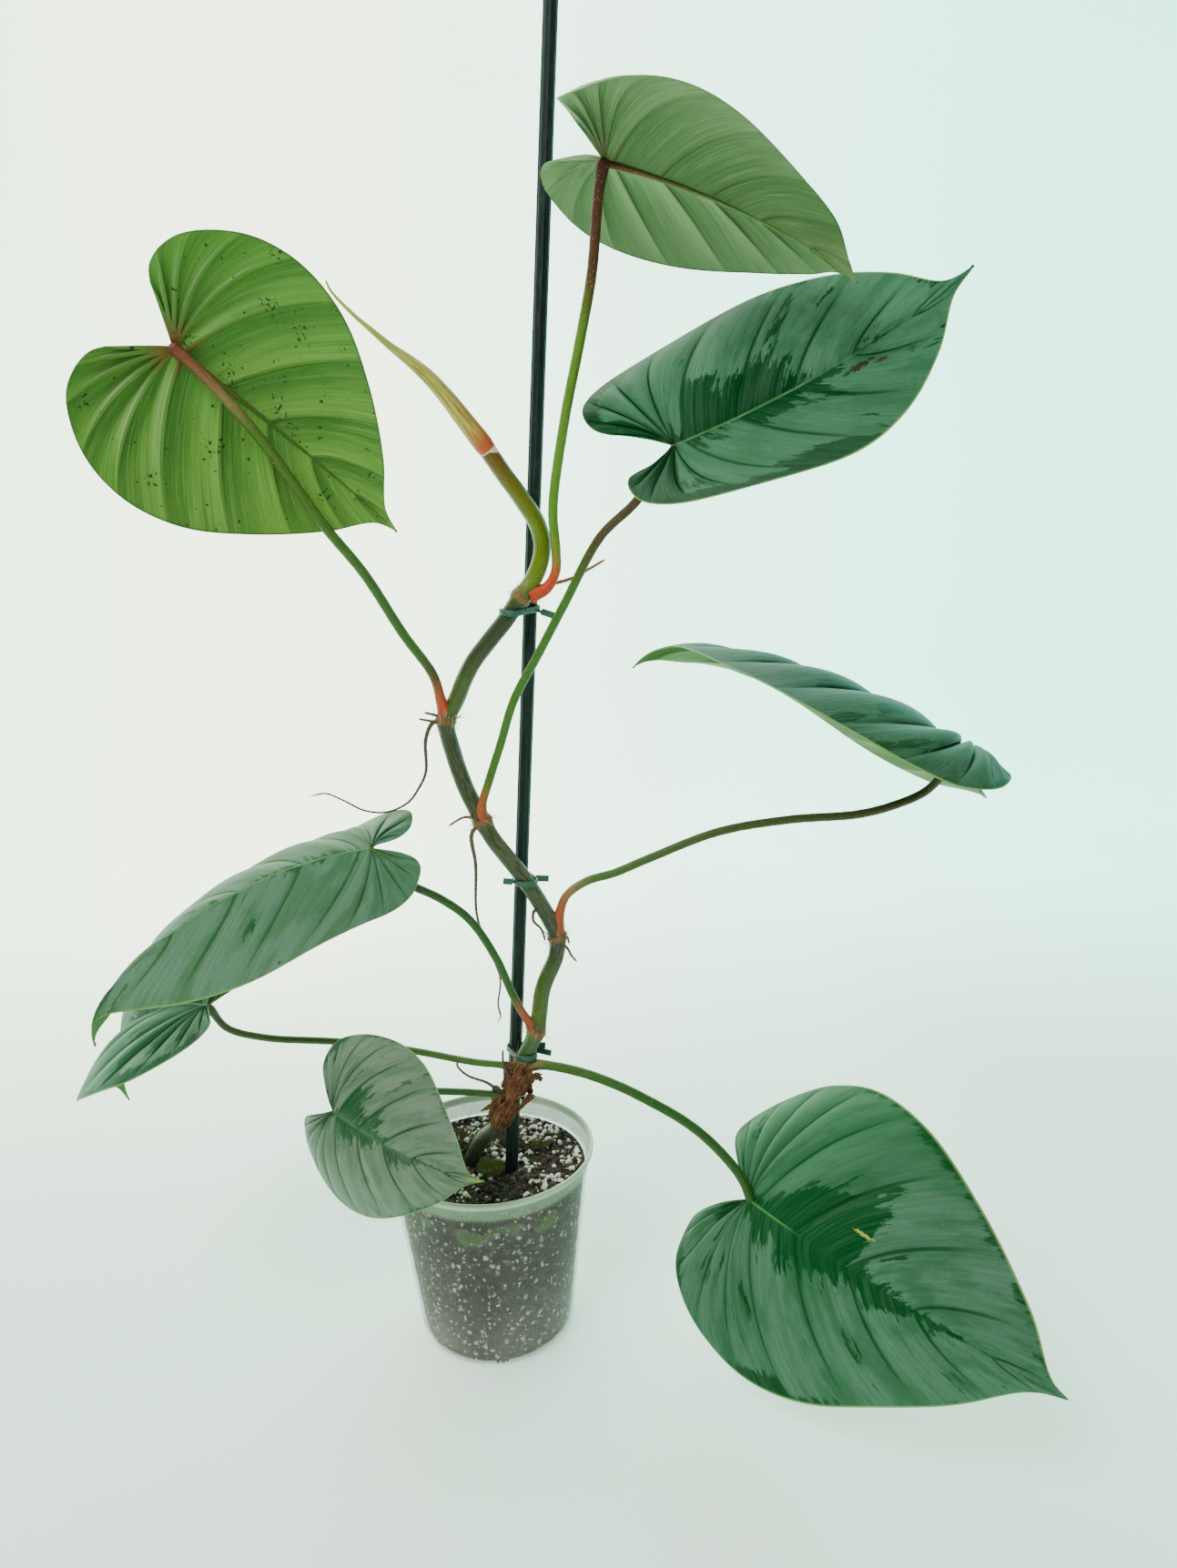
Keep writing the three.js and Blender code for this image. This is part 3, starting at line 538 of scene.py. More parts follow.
# %% The pot's turned wall
POT_HEIGHT, RIM_RADIUS = 116, 60
COLLAR_RADIUS, COLLAR_HEIGHT = 56.4, 104
FOOT_RADIUS, FOOT_ROUND, POT_WALL, POT_SIDES = 37, 8, 1.2, 176
FOOT_RING_DEPTH, GROOVE_HEIGHT, GROOVE_DEPTH = 0.14, 10.3, 0.3


def foot_arc(inset, count=15):
    """The foot's rounded edge as (radius, height), set in by the inset."""
    angle = np.radians(np.linspace(0, 90, count))
    reach = FOOT_ROUND - inset
    return list(zip(FOOT_RADIUS + reach * np.sin(angle), FOOT_ROUND - reach * np.cos(angle)))


def wall_at(height, inset=0.0):
    """Radius of the wall at a height."""
    low, high = (FOOT_ROUND, FOOT_RADIUS + FOOT_ROUND - inset), (COLLAR_HEIGHT, COLLAR_RADIUS - inset)
    return low[1] + (high[1] - low[1]) * (height - low[0]) / (high[0] - low[0])


foot_rings = [(radius - FOOT_RING_DEPTH * (i % 2), height) for i, (radius, height) in enumerate(foot_arc(0))]
groove = [(wall_at(GROOVE_HEIGHT) - GROOVE_DEPTH, GROOVE_HEIGHT)]
wall = [(wall_at(z), z) for z in (9, 9.6)] + groove + [(wall_at(z), z) for z in (11, 30, 55, 80, 100, 102.8)]
collar_line = [(wall_at(103.2) + 0.25, 103.4), (COLLAR_RADIUS + 0.4, 104.2), (COLLAR_RADIUS + 0.35, 104.8)]
rim_outside = [(59.0, 112.9), (59.35, 113.25), (59.8, 113.45), (RIM_RADIUS, 113.9), (RIM_RADIUS, 115.2),
               (59.8, 115.7), (59.4, POT_HEIGHT)]
rim_inside = [(58.8, POT_HEIGHT), (58.4, 115.8), (58.15, 115.3), (57.95, 114.4), (57.8, 113.4), (55.6, 105),
              (55.2, 103.8)]
inner_wall = [(wall_at(z, POT_WALL), z) for z in (80, 50, 25)] + foot_arc(POT_WALL)[::-1]

pot_shape = Shape()
add_turned(pot_shape, foot_rings + wall + collar_line + rim_outside + rim_inside + inner_wall, POT_SIDES)
print(f"the pot is {2 * RIM_RADIUS} mm across its rim and {POT_HEIGHT} mm tall")

# %% [markdown]
# ## The milky plastic
# The plastic is clear but milky, greener at its thicker collar and rim, with algae under the collar at
# the front and drops that dried to pale beads. A thin wall bends light hardly at all, so instead of
# bending it, the pale plastic is laid over the soil by Alpha: little in the middle of the pot, more in
# smears, beads and algae, and most at the rim and where the wall is seen at a slant.

# %% Parts of the plastic
RIM_RISE, COLLAR_RISE = (0.1112, 0.1124), (0.1035, 0.1045)      # heights on the pot in metres
ALGAE_RISE, ALGAE_FALL = (0.084, 0.092), (0.096, 0.101)
FOOT_SMEARS = (0.004, 0.06)
BEAD_SCALE = 420

milk = Finish("milky_plastic", IOR=1.48, Specular_IOR_Level=0.12)
milk_place = milk.place()
_, milk_y, milk_height = milk.parts(milk_place)
slant = milk.node("LayerWeight", {}, {"Blend": 0.35}, output="Facing")
haze = milk.cloud(milk_place, 55, 4, 0.6)
smears = milk.cloud(milk.stretch(milk_place, (1, 1, 0.35)), 28, 3)
rim_part = milk.step(milk_height, *RIM_RISE)
collar = milk.step(milk_height, *COLLAR_RISE) * (1 - rim_part)
low_part = 1 - milk.step(milk_height, *FOOT_SMEARS)
front = milk.step(milk_y * -1, 0.02, 0.05)
algae = (milk.step(milk_height, *ALGAE_RISE) * (1 - milk.step(milk_height, *ALGAE_FALL))
         * milk.step(milk.cloud(milk_place, 70, 3), 0.5, 0.62) * front)
bead_place = milk.ruffle(milk_place, milk_place, 240, 0.005)
to_bead = milk.grains(bead_place, BEAD_SCALE)
bead_luck, _, _ = milk.parts(milk.grains(bead_place, BEAD_SCALE, "Color"))
bead = (1 - milk.step(to_bead, 0.12, 0.4)) * milk.step(bead_luck, 0.66, 1.0)
bead = bead * (1 - rim_part) * (1 - collar * 0.8)
print("the plastic has", len(milk.tree.nodes), "nodes for its rim, collar, algae, smears and beads")

# %% Colour and alpha of the plastic
ALGAE_GREEN, BEAD_CREAM = (0.08, 0.17, 0.03), (0.66, 0.63, 0.48)

collar_colour = milk.mix(haze, (0.2, 0.3, 0.19), (0.34, 0.44, 0.3))
rim_colour = milk.mix(haze, (0.42, 0.54, 0.38), (0.52, 0.62, 0.46))
milk_colour = milk.mix(haze, (0.36, 0.32, 0.3), (0.56, 0.52, 0.48))
milk_colour = milk.mix(collar * 0.9, milk_colour, collar_colour)
milk_colour = milk.mix(rim_part * 0.9, milk_colour, rim_colour)
milk_colour = milk.mix(bead, milk_colour, BEAD_CREAM)
plain_alpha = 0.02 + (0.1 + 0.16 * low_part) * smears + 0.4 * slant * slant * slant
milk.set(
    Base_Color=milk.mix(algae * 0.85, milk_colour, ALGAE_GREEN),
    Roughness=0.32 + 0.25 * haze,
    Alpha=plain_alpha + 0.8 * rim_part + 0.42 * collar + 0.4 * algae + 0.75 * bead)
milk.bump(milk.cloud(milk_place, 160, 3), 0.15)
pot = make(pot_shape, "pot_milky", [milk], ["pot"], crease=38)

# %% [markdown]
# ## Drain slots
# Six slots round the foot let water out. Leaving them open in the turned wall would tie its rows to
# their edges, so a Boolean with six plain boxes cuts them through the finished wall.

# %% Cut the drain slots
DRAIN_SLOTS, SLOT_WIDTH, SLOT_HEIGHT, SLOT_DEPTH = 6, 9, 5, 8
FIRST_SLOT_TURN = -97
BOX_FACES = [(0, 1, 3, 2), (4, 6, 7, 5), (0, 4, 5, 1), (2, 3, 7, 6), (0, 2, 6, 4), (1, 5, 7, 3)]


def box_corners(long, wide, high):
    return [(x * long / 2, y * wide / 2, z * high / 2) for x in (-1, 1) for y in (-1, 1) for z in (-1, 1)]


slot_shape = Shape()
for i in range(DRAIN_SLOTS):
    slot = np.array(box_corners(SLOT_DEPTH, SLOT_WIDTH, 2 * SLOT_HEIGHT)) + (FOOT_RADIUS + FOOT_ROUND, 0, 0)
    slot_shape.add(slot @ turned("Z", FIRST_SLOT_TURN + 360 / DRAIN_SLOTS * i).T, BOX_FACES)
slot_mesh = bpy.data.meshes.new("slots")
slot_mesh.from_pydata(np.vstack(slot_shape.points) * MM, [], slot_shape.faces)
slots = set_down("slots", slot_mesh)
cut = pot.modifiers.new("slots", "BOOLEAN")
cut.object = slots
cut.operation = "DIFFERENCE"
cut.solver = "EXACT"
bpy.context.view_layer.update()
cut_mesh = bpy.data.meshes.new_from_object(pot.evaluated_get(bpy.context.evaluated_depsgraph_get()))
pot.modifiers.clear()
pot.data = cut_mesh
bpy.data.objects.remove(slots)
print("the pot after its slots:", len(pot.data.polygons), "faces")

# %% [markdown]
# ## The soil
# The pot is full of black peat. Its top is lumpy and open, and its side fills the wall with small
# dents. Sculpting it would lose the solid's waves, so it is one turned form whose top is pushed up and
# down by the same slow waves as the solid, and by finer grit.

# %% The soil's body
SOIL_LEVEL, SOIL_LUMP, SOIL_SIDES = 104, 1.5, 168
SOIL_REST = SOIL_LEVEL - 0.5            # the height that the lumps rise and sink from
SOIL_INSET = POT_WALL + 0.3
SOIL_EDGE = COLLAR_RADIUS - SOIL_INSET - 0.1


def crumb_height(x, y):
    """Slow lumps of the soil over its level."""
    coarse = np.sin(0.21 * x + 1.3) * np.sin(0.19 * y + 0.4)
    fine = np.sin(0.55 * x - 0.3 * y) * np.sin(0.48 * y + 0.25 * x + 2)
    return SOIL_LUMP * (0.6 * coarse + 0.5 * fine)


def soil_height(x, y):
    """Height of the soil's top, with grit on the lumps, level at the wall."""
    grit = np.sin(1.7 * x + 0.6 * y) * np.sin(1.9 * y - 0.7 * x + 1)
    grit = grit + 0.7 * np.sin(3.1 * x + 2) * np.sin(2.9 * y)
    rise = np.minimum(1, 8 * (1 - np.hypot(x, y) / SOIL_EDGE))
    return SOIL_REST + (crumb_height(x, y) + 0.32 * grit) * np.maximum(rise, 0)


soil_side = [(wall_at(z, SOIL_INSET), z) for z in np.linspace(12, 100, 45)]
soil_rings = [(SOIL_EDGE * share, SOIL_REST) for share in np.linspace(1, 0.02, 58)]
soil_shape = Shape()
add_turned(soil_shape, foot_arc(SOIL_INSET) + soil_side + soil_rings, SOIL_SIDES)
soil_points = soil_shape.points[0]
on_top = soil_points[:, 2] > SOIL_LEVEL - 1
soil_points[on_top, 2] = soil_height(soil_points[on_top, 0], soil_points[on_top, 1])
round_pot = np.arctan2(soil_points[:, 1], soil_points[:, 0])
dents = 0.9 - 0.35 * np.sin(0.4 * soil_points[:, 2]) * np.sin(9 * round_pot)
pull = np.where(on_top, 0, 0.5 * dents)[:, None] * unit(soil_points * (1, 1, 0))
soil_shape.points[0] = soil_points - pull
print("the soil's top reaches up to", round(float(soil_points[:, 2].max()), 1), "mm")

# %% [markdown]
# ## The peat's finish
# Peat is dark and dull, with brown bits of root, and pale perlite shows where it lies against the
# wall. Modelling every bit would cost much and show little, so the bits are Voronoi cells with edges
# ruffled by noise, and each cell's own random colour decides whether it is brown, pale or plain.

# %% The peat's finish
PEAT_BIT_SCALE = 330

peat = Finish("peat", Specular_IOR_Level=0.25)
peat_place = peat.place()
_, _, peat_height = peat.parts(peat_place)
peat_clumps = peat.cloud(peat_place, 220, 5, 0.7)
peat_warp = peat.ruffle(peat.stretch(peat_place, (1, 1, 0.75)), peat_place, 300, 0.004)
peat_bits = peat.grains(peat_warp, PEAT_BIT_SCALE)
luck_x, luck_y, _ = peat.parts(peat.grains(peat_warp, PEAT_BIT_SCALE, "Color"))
below = 1 - peat.step(peat_height, 0.1, 0.1025)
pale_bits = (1 - peat.step(peat_bits, 0.2, 0.55)) * peat.step(luck_x, 0.72, 0.95)
brown_bits = (1 - peat.step(peat_bits, 0.3, 0.5)) * peat.step(luck_y, 0.75, 0.9)
peat_colour = peat.ramp(peat_clumps, [
    (0.3, (0.008, 0.006, 0.006)), (0.55, (0.034, 0.025, 0.024)), (0.8, (0.09, 0.068, 0.062))])
peat_colour = peat.mix(brown_bits * 0.8, peat_colour, (0.13, 0.07, 0.035))
peat.set(
    Base_Color=peat.mix(pale_bits * (0.25 + 0.6 * below), peat_colour, (0.6, 0.58, 0.5)),
    Roughness=0.78 + 0.2 * peat_clumps)
peat.bump(peat_clumps + 0.6 * peat_bits, 1.4)
make(soil_shape, "soil_peat", [peat], ["soil"], crease=60)

# %% [markdown]
# ## Grains on the soil
# Perlite is expanded volcanic glass: white, crumbly grains 1 to 4 mm across, in drifts at the right
# and the back. Between them lie black crumbs, and a few have washed out of the front drain slot. A
# texture would stay flat at a slant, so each is a rough ball of its own, scattered by a seeded draw.

# %% Scatter places on the soil
STEM_HOLE, STAKE_HOLE = (-11, 4), (11.7, -9)


def soil_places(count, dice, keep=lambda x, y: 1.0, clear=5.5):
    """Random places on the soil's top, clear of stem and stake. keep gives the chance that one stays."""
    places = []
    while len(places) < count:
        distance, angle = (SOIL_EDGE - 1.5) * math.sqrt(dice.random()), 2 * math.pi * dice.random()
        x, y = distance * math.cos(angle), distance * math.sin(angle)
        free = all(math.hypot(x - hx, y - hy) > clear for hx, hy in (STEM_HOLE, STAKE_HOLE))
        if free and dice.random() < keep(x, y):
            places.append((x, y, float(soil_height(x, y))))
    return places


def perlite_chance(x, y):
    """Drifts of perlite: dense in some patches and towards the right and the back."""
    drift = math.sin(0.13 * x + 0.4) * math.sin(0.11 * y + 1.1) + 0.5 * math.sin(0.3 * x - 0.2 * y)
    return min(1, max(0.02, 0.22 + 0.4 * drift + 0.009 * x + 0.006 * y))


print("the chance of perlite in the middle is", round(perlite_chance(0, 0), 2))

# %% Shape the grains
PERLITE_GRAINS, CRUMBS, SLOT_CRUMBS = 400, 2300, 26
SOIL_SEED = 11

dice = np.random.default_rng(SOIL_SEED)
perlite_shape, crumb_shape = Shape(), Shape()
for x, y, z in soil_places(PERLITE_GRAINS, dice, perlite_chance):
    size = 0.55 + 1.25 * dice.random() ** 2
    add_lump(perlite_shape, (x, y, z + 0.35 * size), size, dice, rough=0.22, flat=0.85, along=dice.random())
for x, y, z in soil_places(CRUMBS, dice):
    size = 0.4 + 0.9 * dice.random() ** 2
    add_lump(crumb_shape, (x, y, z + 0.3 * size), size, dice, level=1, rough=0.35, along=dice.random())
for x, y in dice.uniform((-4, -1.5), (4, 1), (SLOT_CRUMBS, 2)):
    size = dice.uniform(0.5, 1.1)
    add_lump(crumb_shape, (x, y - FOOT_RADIUS - 2.2, 1.2 + size * dice.uniform(0.6, 2.8)), size, dice,
             level=1, rough=0.4, along=0.2)
print(PERLITE_GRAINS, "grains of perlite and", CRUMBS + SLOT_CRUMBS, "crumbs")

# %% [markdown]
# ## Finishes of the grains
# Perlite is white to cream with dark pits, and crumbs go from black to bark brown. One material for
# each kind is enough, because every grain carries a random mark, along, that picks its tint.

# %% Perlite and crumbs
perlite = Finish("perlite_white", Roughness=0.9, Specular_IOR_Level=0.3)
perlite_pits = perlite.cloud(perlite.place(), 900, 3, 0.7)
perlite_clean = perlite.mix(perlite.mark("along"), (0.8, 0.8, 0.72), (0.62, 0.6, 0.5))
perlite.set(Base_Color=perlite.mix(perlite.step(perlite_pits, 0.58, 0.75), perlite_clean, (0.2, 0.17, 0.12)))
perlite.bump(perlite_pits, 0.5)

crumb = Finish("peat_crumbs", Roughness=0.85, Specular_IOR_Level=0.25)
crumb.set(Base_Color=crumb.ramp(crumb.mark("along"), [
    (0, (0.008, 0.006, 0.005)), (0.6, (0.03, 0.021, 0.014)), (0.85, (0.1, 0.055, 0.028)),
    (1, (0.2, 0.11, 0.05))]))
crumb.bump(crumb.cloud(crumb.place(), 1200, 3), 0.4)
make(perlite_shape, "perlite", [perlite], crease=75, weld=False)
make(crumb_shape, "peat_crumbs", [crumb], crease=80, weld=False)

# %% [markdown]
# ## Bark fibres and moss
# Reddish fibres of bark lie across the peat, and small cushions of green and browning moss grow near
# the stem and the wall. A handed-on piece needs plain faces and no hair curves, so each is a thin bent
# rod of four sides. Fibres lie flat, and moss stands up and leans out of its cushion.

# %% Strands on the soil
def add_strand(shape, start, heading, length, radius, dice, finish=0, lift=0.0, along=None):
    """A thin bent fibre: it starts at a place, follows a heading and wanders a little."""
    heading = unit(np.array(heading, float))
    knots = [np.array(start, float)]
    for _ in range(3):
        heading = unit(heading + 0.45 * (dice.random(3) - 0.5) + (0, 0, lift))
        knots.append(knots[-1] + heading * length / 3)
    tint = dice.random() if along is None else along
    add_rod(shape, evenly(smooth_line(knots, 4), 6), lambda share, angle, run: radius * (1 - 0.75 * share),
            sides=4, finish=finish, along=(tint, tint))


BARK_FIBRES = 170
MOSS_BEDS = [           # middle of the cushion, its reach, number of strands and how far it has browned
    ((0, -8), 6.5, 520, 0.3), ((-16, 22), 13, 460, 0.8), ((30, 12), 5, 120, 0.5), ((-24, -14), 6, 160, 0.7),
    ((12, 26), 9, 220, 0.85)]

fibre_shape, moss_shape = Shape(), Shape()
for x, y, z in soil_places(BARK_FIBRES, dice, clear=4):
    heading = (dice.random() - 0.5, dice.random() - 0.5, 0.1 * dice.random())
    add_strand(fibre_shape, (x, y, z + 0.9), heading, 4 + 9 * dice.random(), 0.16 + 0.2 * dice.random(), dice)
for (bed_x, bed_y), reach, count, browning in MOSS_BEDS:
    for _ in range(count):
        distance, angle = reach * math.sqrt(dice.random()), 2 * math.pi * dice.random()
        x, y = bed_x + distance * math.cos(angle), bed_y + distance * math.sin(angle)
        heading = (math.cos(angle) * 0.8, math.sin(angle) * 0.8, 0.9)
        add_strand(moss_shape, (x, y, float(soil_height(x, y)) + 0.1), heading, 2 + 4 * dice.random(),
                   0.3, dice, lift=0.25, along=min(1, browning * (0.5 + dice.random())))
print(BARK_FIBRES, "bark fibres and", sum(bed[2] for bed in MOSS_BEDS), "strands of moss")

# %% Finishes of fibres and moss
fibre = Finish("bark_fibres", Roughness=0.8)
fibre.set(Base_Color=fibre.ramp(fibre.mark("along"), [
    (0, (0.045, 0.02, 0.01)), (0.5, (0.16, 0.075, 0.035)), (0.8, (0.3, 0.17, 0.085)),
    (1, (0.45, 0.33, 0.2))]))
moss = Finish("moss", Roughness=0.8, Sheen_Weight=0.2)
moss.set(Base_Color=moss.ramp(moss.mark("along"), [
    (0, (0.17, 0.2, 0.02)), (0.35, (0.13, 0.14, 0.02)), (0.7, (0.11, 0.075, 0.02)),
    (1, (0.07, 0.03, 0.012))]))
make(fibre_shape, "bark_fibres", [fibre])
make(moss_shape, "moss", [moss])

# %% [markdown]
# ## The stem
# The stem climbs in a zigzag from node to node. At each node it is thicker and carries rings, where
# an old leaf or sheath fell off. A cylinder bent along a curve could do it, but the solid's own line
# is at hand, so the stem is a rod on that line, with the rings and corky lumps in its radius.

# %% The stem's line
STEM_RADIUS, NODE_SWELL, NODE_REACH = 4.4, 0.9, 3.4
STEM = [
    (-22, 10, 62), (-17, 8, 86), (-11, 4, 104), (-4, -1, 120), (4, -8, 131), (8.5, -14, 144),
    (14, -17.5, 157), (21, -17, 176), (29, -17, 193), (34, -14, 217), (42, -10, 234), (43, -10, 245),
    (39, -12, 256), (26, -14, 281), (12, -11, 301), (6, -9, 312), (-3, -8, 334), (-9, -6, 357),
    (-10, -6, 367), (-5, -6, 376), (5, -8, 396), (23, -11, 418), (31, -11, 429), (38, -10, 438),
    (42, -10, 447), (43, -10, 456), (41, -10, 465), (36, -9, 474), (24, -7, 492), (18.6, -7, 500.6)]
NODES = [(14, -17.5, 157), (21, -17, 176), (29, -17, 193), (43, -10, 245), (6, -9, 312), (-10, -6, 367),
         (31, -11, 429)]
stem_line = smooth_line(STEM)
stem_path = evenly(stem_line, 820)
stem_run = run_of(stem_path)
node_runs = [stem_run[np.argmin(np.linalg.norm(stem_path - node, axis=1))] for node in NODES]


def near_node(run, width, shift=lambda at: 0.0):
    """1 at a node, falling to 0 over the width. shift gives how far above the node the 1 lies."""
    return np.max([np.exp(-((run - at - shift(at)) / width) ** 2) for at in node_runs], axis=0)


def stem_radius(share, angle, run):
    """The plain radius with its swellings, two rings at each node, and cork."""
    swell = near_node(run, NODE_REACH)
    ring = near_node(run, 0.55, lambda at: 0.5 * np.cos(angle + at))
    upper = near_node(run, 0.4, lambda at: 3 + 0.6 * np.sin(angle + at))
    cork = np.sin(3 * angle + 0.11 * run) * np.sin(0.31 * run)
    cork = cork + 0.6 * np.sin(7 * angle + 0.9 * np.sin(0.2 * run))
    return STEM_RADIUS + NODE_SWELL * swell + 0.42 * ring + 0.24 * upper + 0.07 * cork


stem_shape = Shape()
add_rod(stem_shape, stem_path, stem_radius, sides=36, scar=near_node(stem_run, 4.2))
print(f"the stem runs {stem_run[-1]:.0f} mm past {len(NODES)} nodes")

# %% [markdown]
# ## Aerial roots
# Brown roots grow out at the nodes, thick at their base, and run down the stem or stand out in the
# air. They are rods too, each on its own measured line with its own tint, and they join the stem's
# piece, because they grew from it.

# %% Aerial roots
ROOT_BASE = 1.3
ROOTS = [           # radius, tint from dark 0 to reddish 0.9, and the line
    (0.6, 0.25, [(-11, -6, 367), (-17, -7, 366), (-21, -8, 358), (-22, -10, 341), (-26, -11, 333),
        (-32, -13, 326), (-43, -15, 322), (-54, -17, 324), (-65, -19, 331), (-73, -20, 335),
        (-81, -21, 334)]),
    (0.7, 0.3, [(6, -9, 312), (0, -12, 307), (1, -13, 290), (0, -13, 264), (2, -12, 252), (9, -11, 231),
        (11, -11, 222), (9, -12, 208), (10, -13, 201), (8, -13, 198)]),
    (0.8, 0.15, [(37, -12, 259), (31, -16, 263), (30, -18, 258), (34, -18, 253), (36, -18, 246)]),
    (0.8, 0.5, [(43, -10, 245), (48, -14, 246), (49, -15, 242)]),
    (0.8, 0.4, [(43, -10, 242), (48, -13, 239), (50, -14, 235), (53, -14, 231)]),
    (1.0, 0.85, [(36, -11, 432), (43, -5, 434), (50, -4, 435), (58, -4, 437), (66, -5, 441), (75, -7, 446)]),
    (0.8, 0.3, [(-10, -6, 368), (-15, -7, 370), (-21, -8, 372)]),
    (0.8, 0.2, [(-10, -6, 366), (-16, -8, 367), (-24, -9, 369)]),
    (0.8, 0.4, [(6, -9, 312), (-3, -12, 316), (-12, -13, 312)]),
    (0.8, 0, [(13, -17, 158), (7, -24, 163), (0, -27, 170), (-9, -28, 175), (-14, -28, 180), (-15, -28, 183),
        (-13, -28, 185)]),
    (0.8, 0.1, [(17, -17, 166), (13, -24, 171), (10, -26, 180), (10, -26, 188)])]


def add_root(radius, tint, route):
    """A root that is thick where it leaves the stem and closes at its end."""
    def taper(share, angle, run):
        thick = radius * (1 - 0.3 * share) + (ROOT_BASE - radius) * (1 - share) ** 3
        ending = 1 - 0.6 * np.clip((share - 0.95) * 20, 0, 1)
        return thick * (1 + 0.08 * np.sin(2.3 * run + 2 * angle)) * ending
    line = smooth_line(route)
    count = max(12, int(run_of(line)[-1] * 0.9))
    add_rod(stem_shape, evenly(line, count), taper, sides=10, finish=1, along=(tint, tint))


for root in ROOTS:
    add_root(*root)
print(len(ROOTS), "aerial roots")

# %% [markdown]
# ## Frayed fibres
# Where an old sheath rotted away, stiff tan fibres stay round the node. Painted on, they would not
# break the outline, so each is a strand, as on the soil, that starts on the stem's skin.

# %% Frayed fibres at the nodes
NODE_FIBRES = [26, 14, 30, 30, 20, 30, 26]      # one number for each node, from the lowest up
FIBRE_START = 5.1                               # how far from the stem's middle they start

fibre_dice = np.random.default_rng(23)
for count, at in zip(NODE_FIBRES, node_runs):
    index = int(np.argmin(np.abs(stem_run - at)))
    axis = unit(stem_path[index + 1] - stem_path[index - 1])
    side, other = directions_across(stem_path[index - 1:index + 2])
    for _ in range(count):
        angle = 2 * math.pi * fibre_dice.random()
        outward = side[1] * math.cos(angle) + other[1] * math.sin(angle)
        start = stem_path[index] + outward * FIBRE_START + axis * (4 * fibre_dice.random() - 1.5)
        heading = outward * (0.2 + 0.5 * fibre_dice.random()) + axis * (1.6 * fibre_dice.random() - 0.5)
        add_strand(stem_shape, start, heading, 3 + 6 * fibre_dice.random(), 0.12 + 0.16 * fibre_dice.random(),
                   fibre_dice, finish=2)
print(sum(NODE_FIBRES), "frayed fibres at", len(NODES), "nodes")

# %% [markdown]
# ## The stem's bark
# The colour changes with height: grey and corky at the soil, rusty at the lowest nodes, green above
# and yellow-green at the top. A ramp along the height carries it, slow noise blurs the ramp's edges,
# and streaks along the stem and the mark of the nodes lay cork and tan rings over it.

# %% The stem's bark
BARK_FROM, BARK_SPAN = 0.1, 0.4                 # metres: the ramp starts at this height and runs this far
OLD_BARK = (0.3, 0.44)                          # heights between which cork gives way to green
JOINT = (0.4996, 0.4999)                        # the pale line under the young leaf's sheath

bark = Finish("stem_bark", Specular_IOR_Level=0.28)
skin = bark.mark("skin", "Vector")
_, _, bark_height = bark.parts(bark.place())
skin_x, skin_y, _ = bark.parts(skin)
scar = bark.mark("scar")
mottle = bark.cloud(skin, 0.45, 4)
streaks = bark.cloud(bark.stretch(skin, (1, 1, 0.1)), 1.1, 4, 0.6)
green = bark.ramp((bark_height - BARK_FROM) / BARK_SPAN + (mottle - 0.5) * 0.03, [
    (0.0, (0.035, 0.04, 0.03)), (0.08, (0.07, 0.065, 0.045)), (0.11, (0.15, 0.055, 0.025)),
    (0.17, (0.1, 0.05, 0.02)), (0.2, (0.04, 0.07, 0.02)), (0.26, (0.07, 0.12, 0.014)),
    (0.33, (0.04, 0.07, 0.018)), (0.345, (0.026, 0.04, 0.016)), (0.5, (0.036, 0.052, 0.015)),
    (0.56, (0.03, 0.042, 0.014)), (0.66, (0.036, 0.05, 0.018)), (0.68, (0.06, 0.1, 0.012)),
    (0.72, (0.05, 0.08, 0.014)), (0.76, (0.03, 0.042, 0.016)), (0.81, (0.028, 0.04, 0.016)),
    (0.84, (0.12, 0.17, 0.006)), (0.92, (0.1, 0.14, 0.006)), (1.0, (0.13, 0.06, 0.01))])
old = 1 - bark.step(bark_height, *OLD_BARK)
cork = bark.step(streaks + (skin_x * 0.03) + (skin_y * -0.02), 0.56, 0.7) * old
bark_colour = bark.mix(cork * 0.55, green, (0.15, 0.13, 0.09))
bark_colour = bark.mix(bark.step(streaks, 0.5, 0.74) * (0.45 + 0.3 * old), bark_colour, (0.014, 0.024, 0.008))
ring_tan = bark.step(scar + (mottle - 0.5) * 0.7, 0.62, 0.95)
ring_colour = bark.mix(streaks, (0.08, 0.035, 0.014), (0.32, 0.16, 0.06))
bark_colour = bark.mix(ring_tan * 0.85, bark_colour, ring_colour)
bark.set(
    Base_Color=bark.mix(bark.step(bark_height, *JOINT) * 0.85, bark_colour, (0.7, 0.66, 0.5)),
    Roughness=0.27 + 0.4 * cork + 0.3 * ring_tan)
bark.bump(streaks + 0.5 * mottle * old, 0.5)
print("the bark has", len(bark.tree.nodes), "nodes")

# %% Finishes of roots and fibres
ROOT_GREY = (0.16, 0.11, 0.07)

root_skin = Finish("root_skin", Roughness=0.7)
root_grain = root_skin.cloud(root_skin.mark("skin", "Vector"), 1.5, 3)
root_tint = root_skin.ramp(root_skin.mark("along"), [
    (0, (0.02, 0.016, 0.012)), (0.3, (0.06, 0.035, 0.02)), (0.6, (0.2, 0.1, 0.05)),
    (0.9, (0.28, 0.06, 0.025))])
root_skin.set(Base_Color=root_skin.mix(root_grain * 0.5, root_tint, ROOT_GREY))
root_skin.bump(root_grain, 0.3)
frayed = Finish("frayed_fibre", Roughness=0.8)
frayed.set(Base_Color=frayed.ramp(frayed.mark("along"), [
    (0, (0.1, 0.045, 0.02)), (0.5, (0.26, 0.13, 0.06)), (1, (0.55, 0.45, 0.28))]))
make(stem_shape, "main_stem_bark", [bark, root_skin, frayed], ["main_stem"])

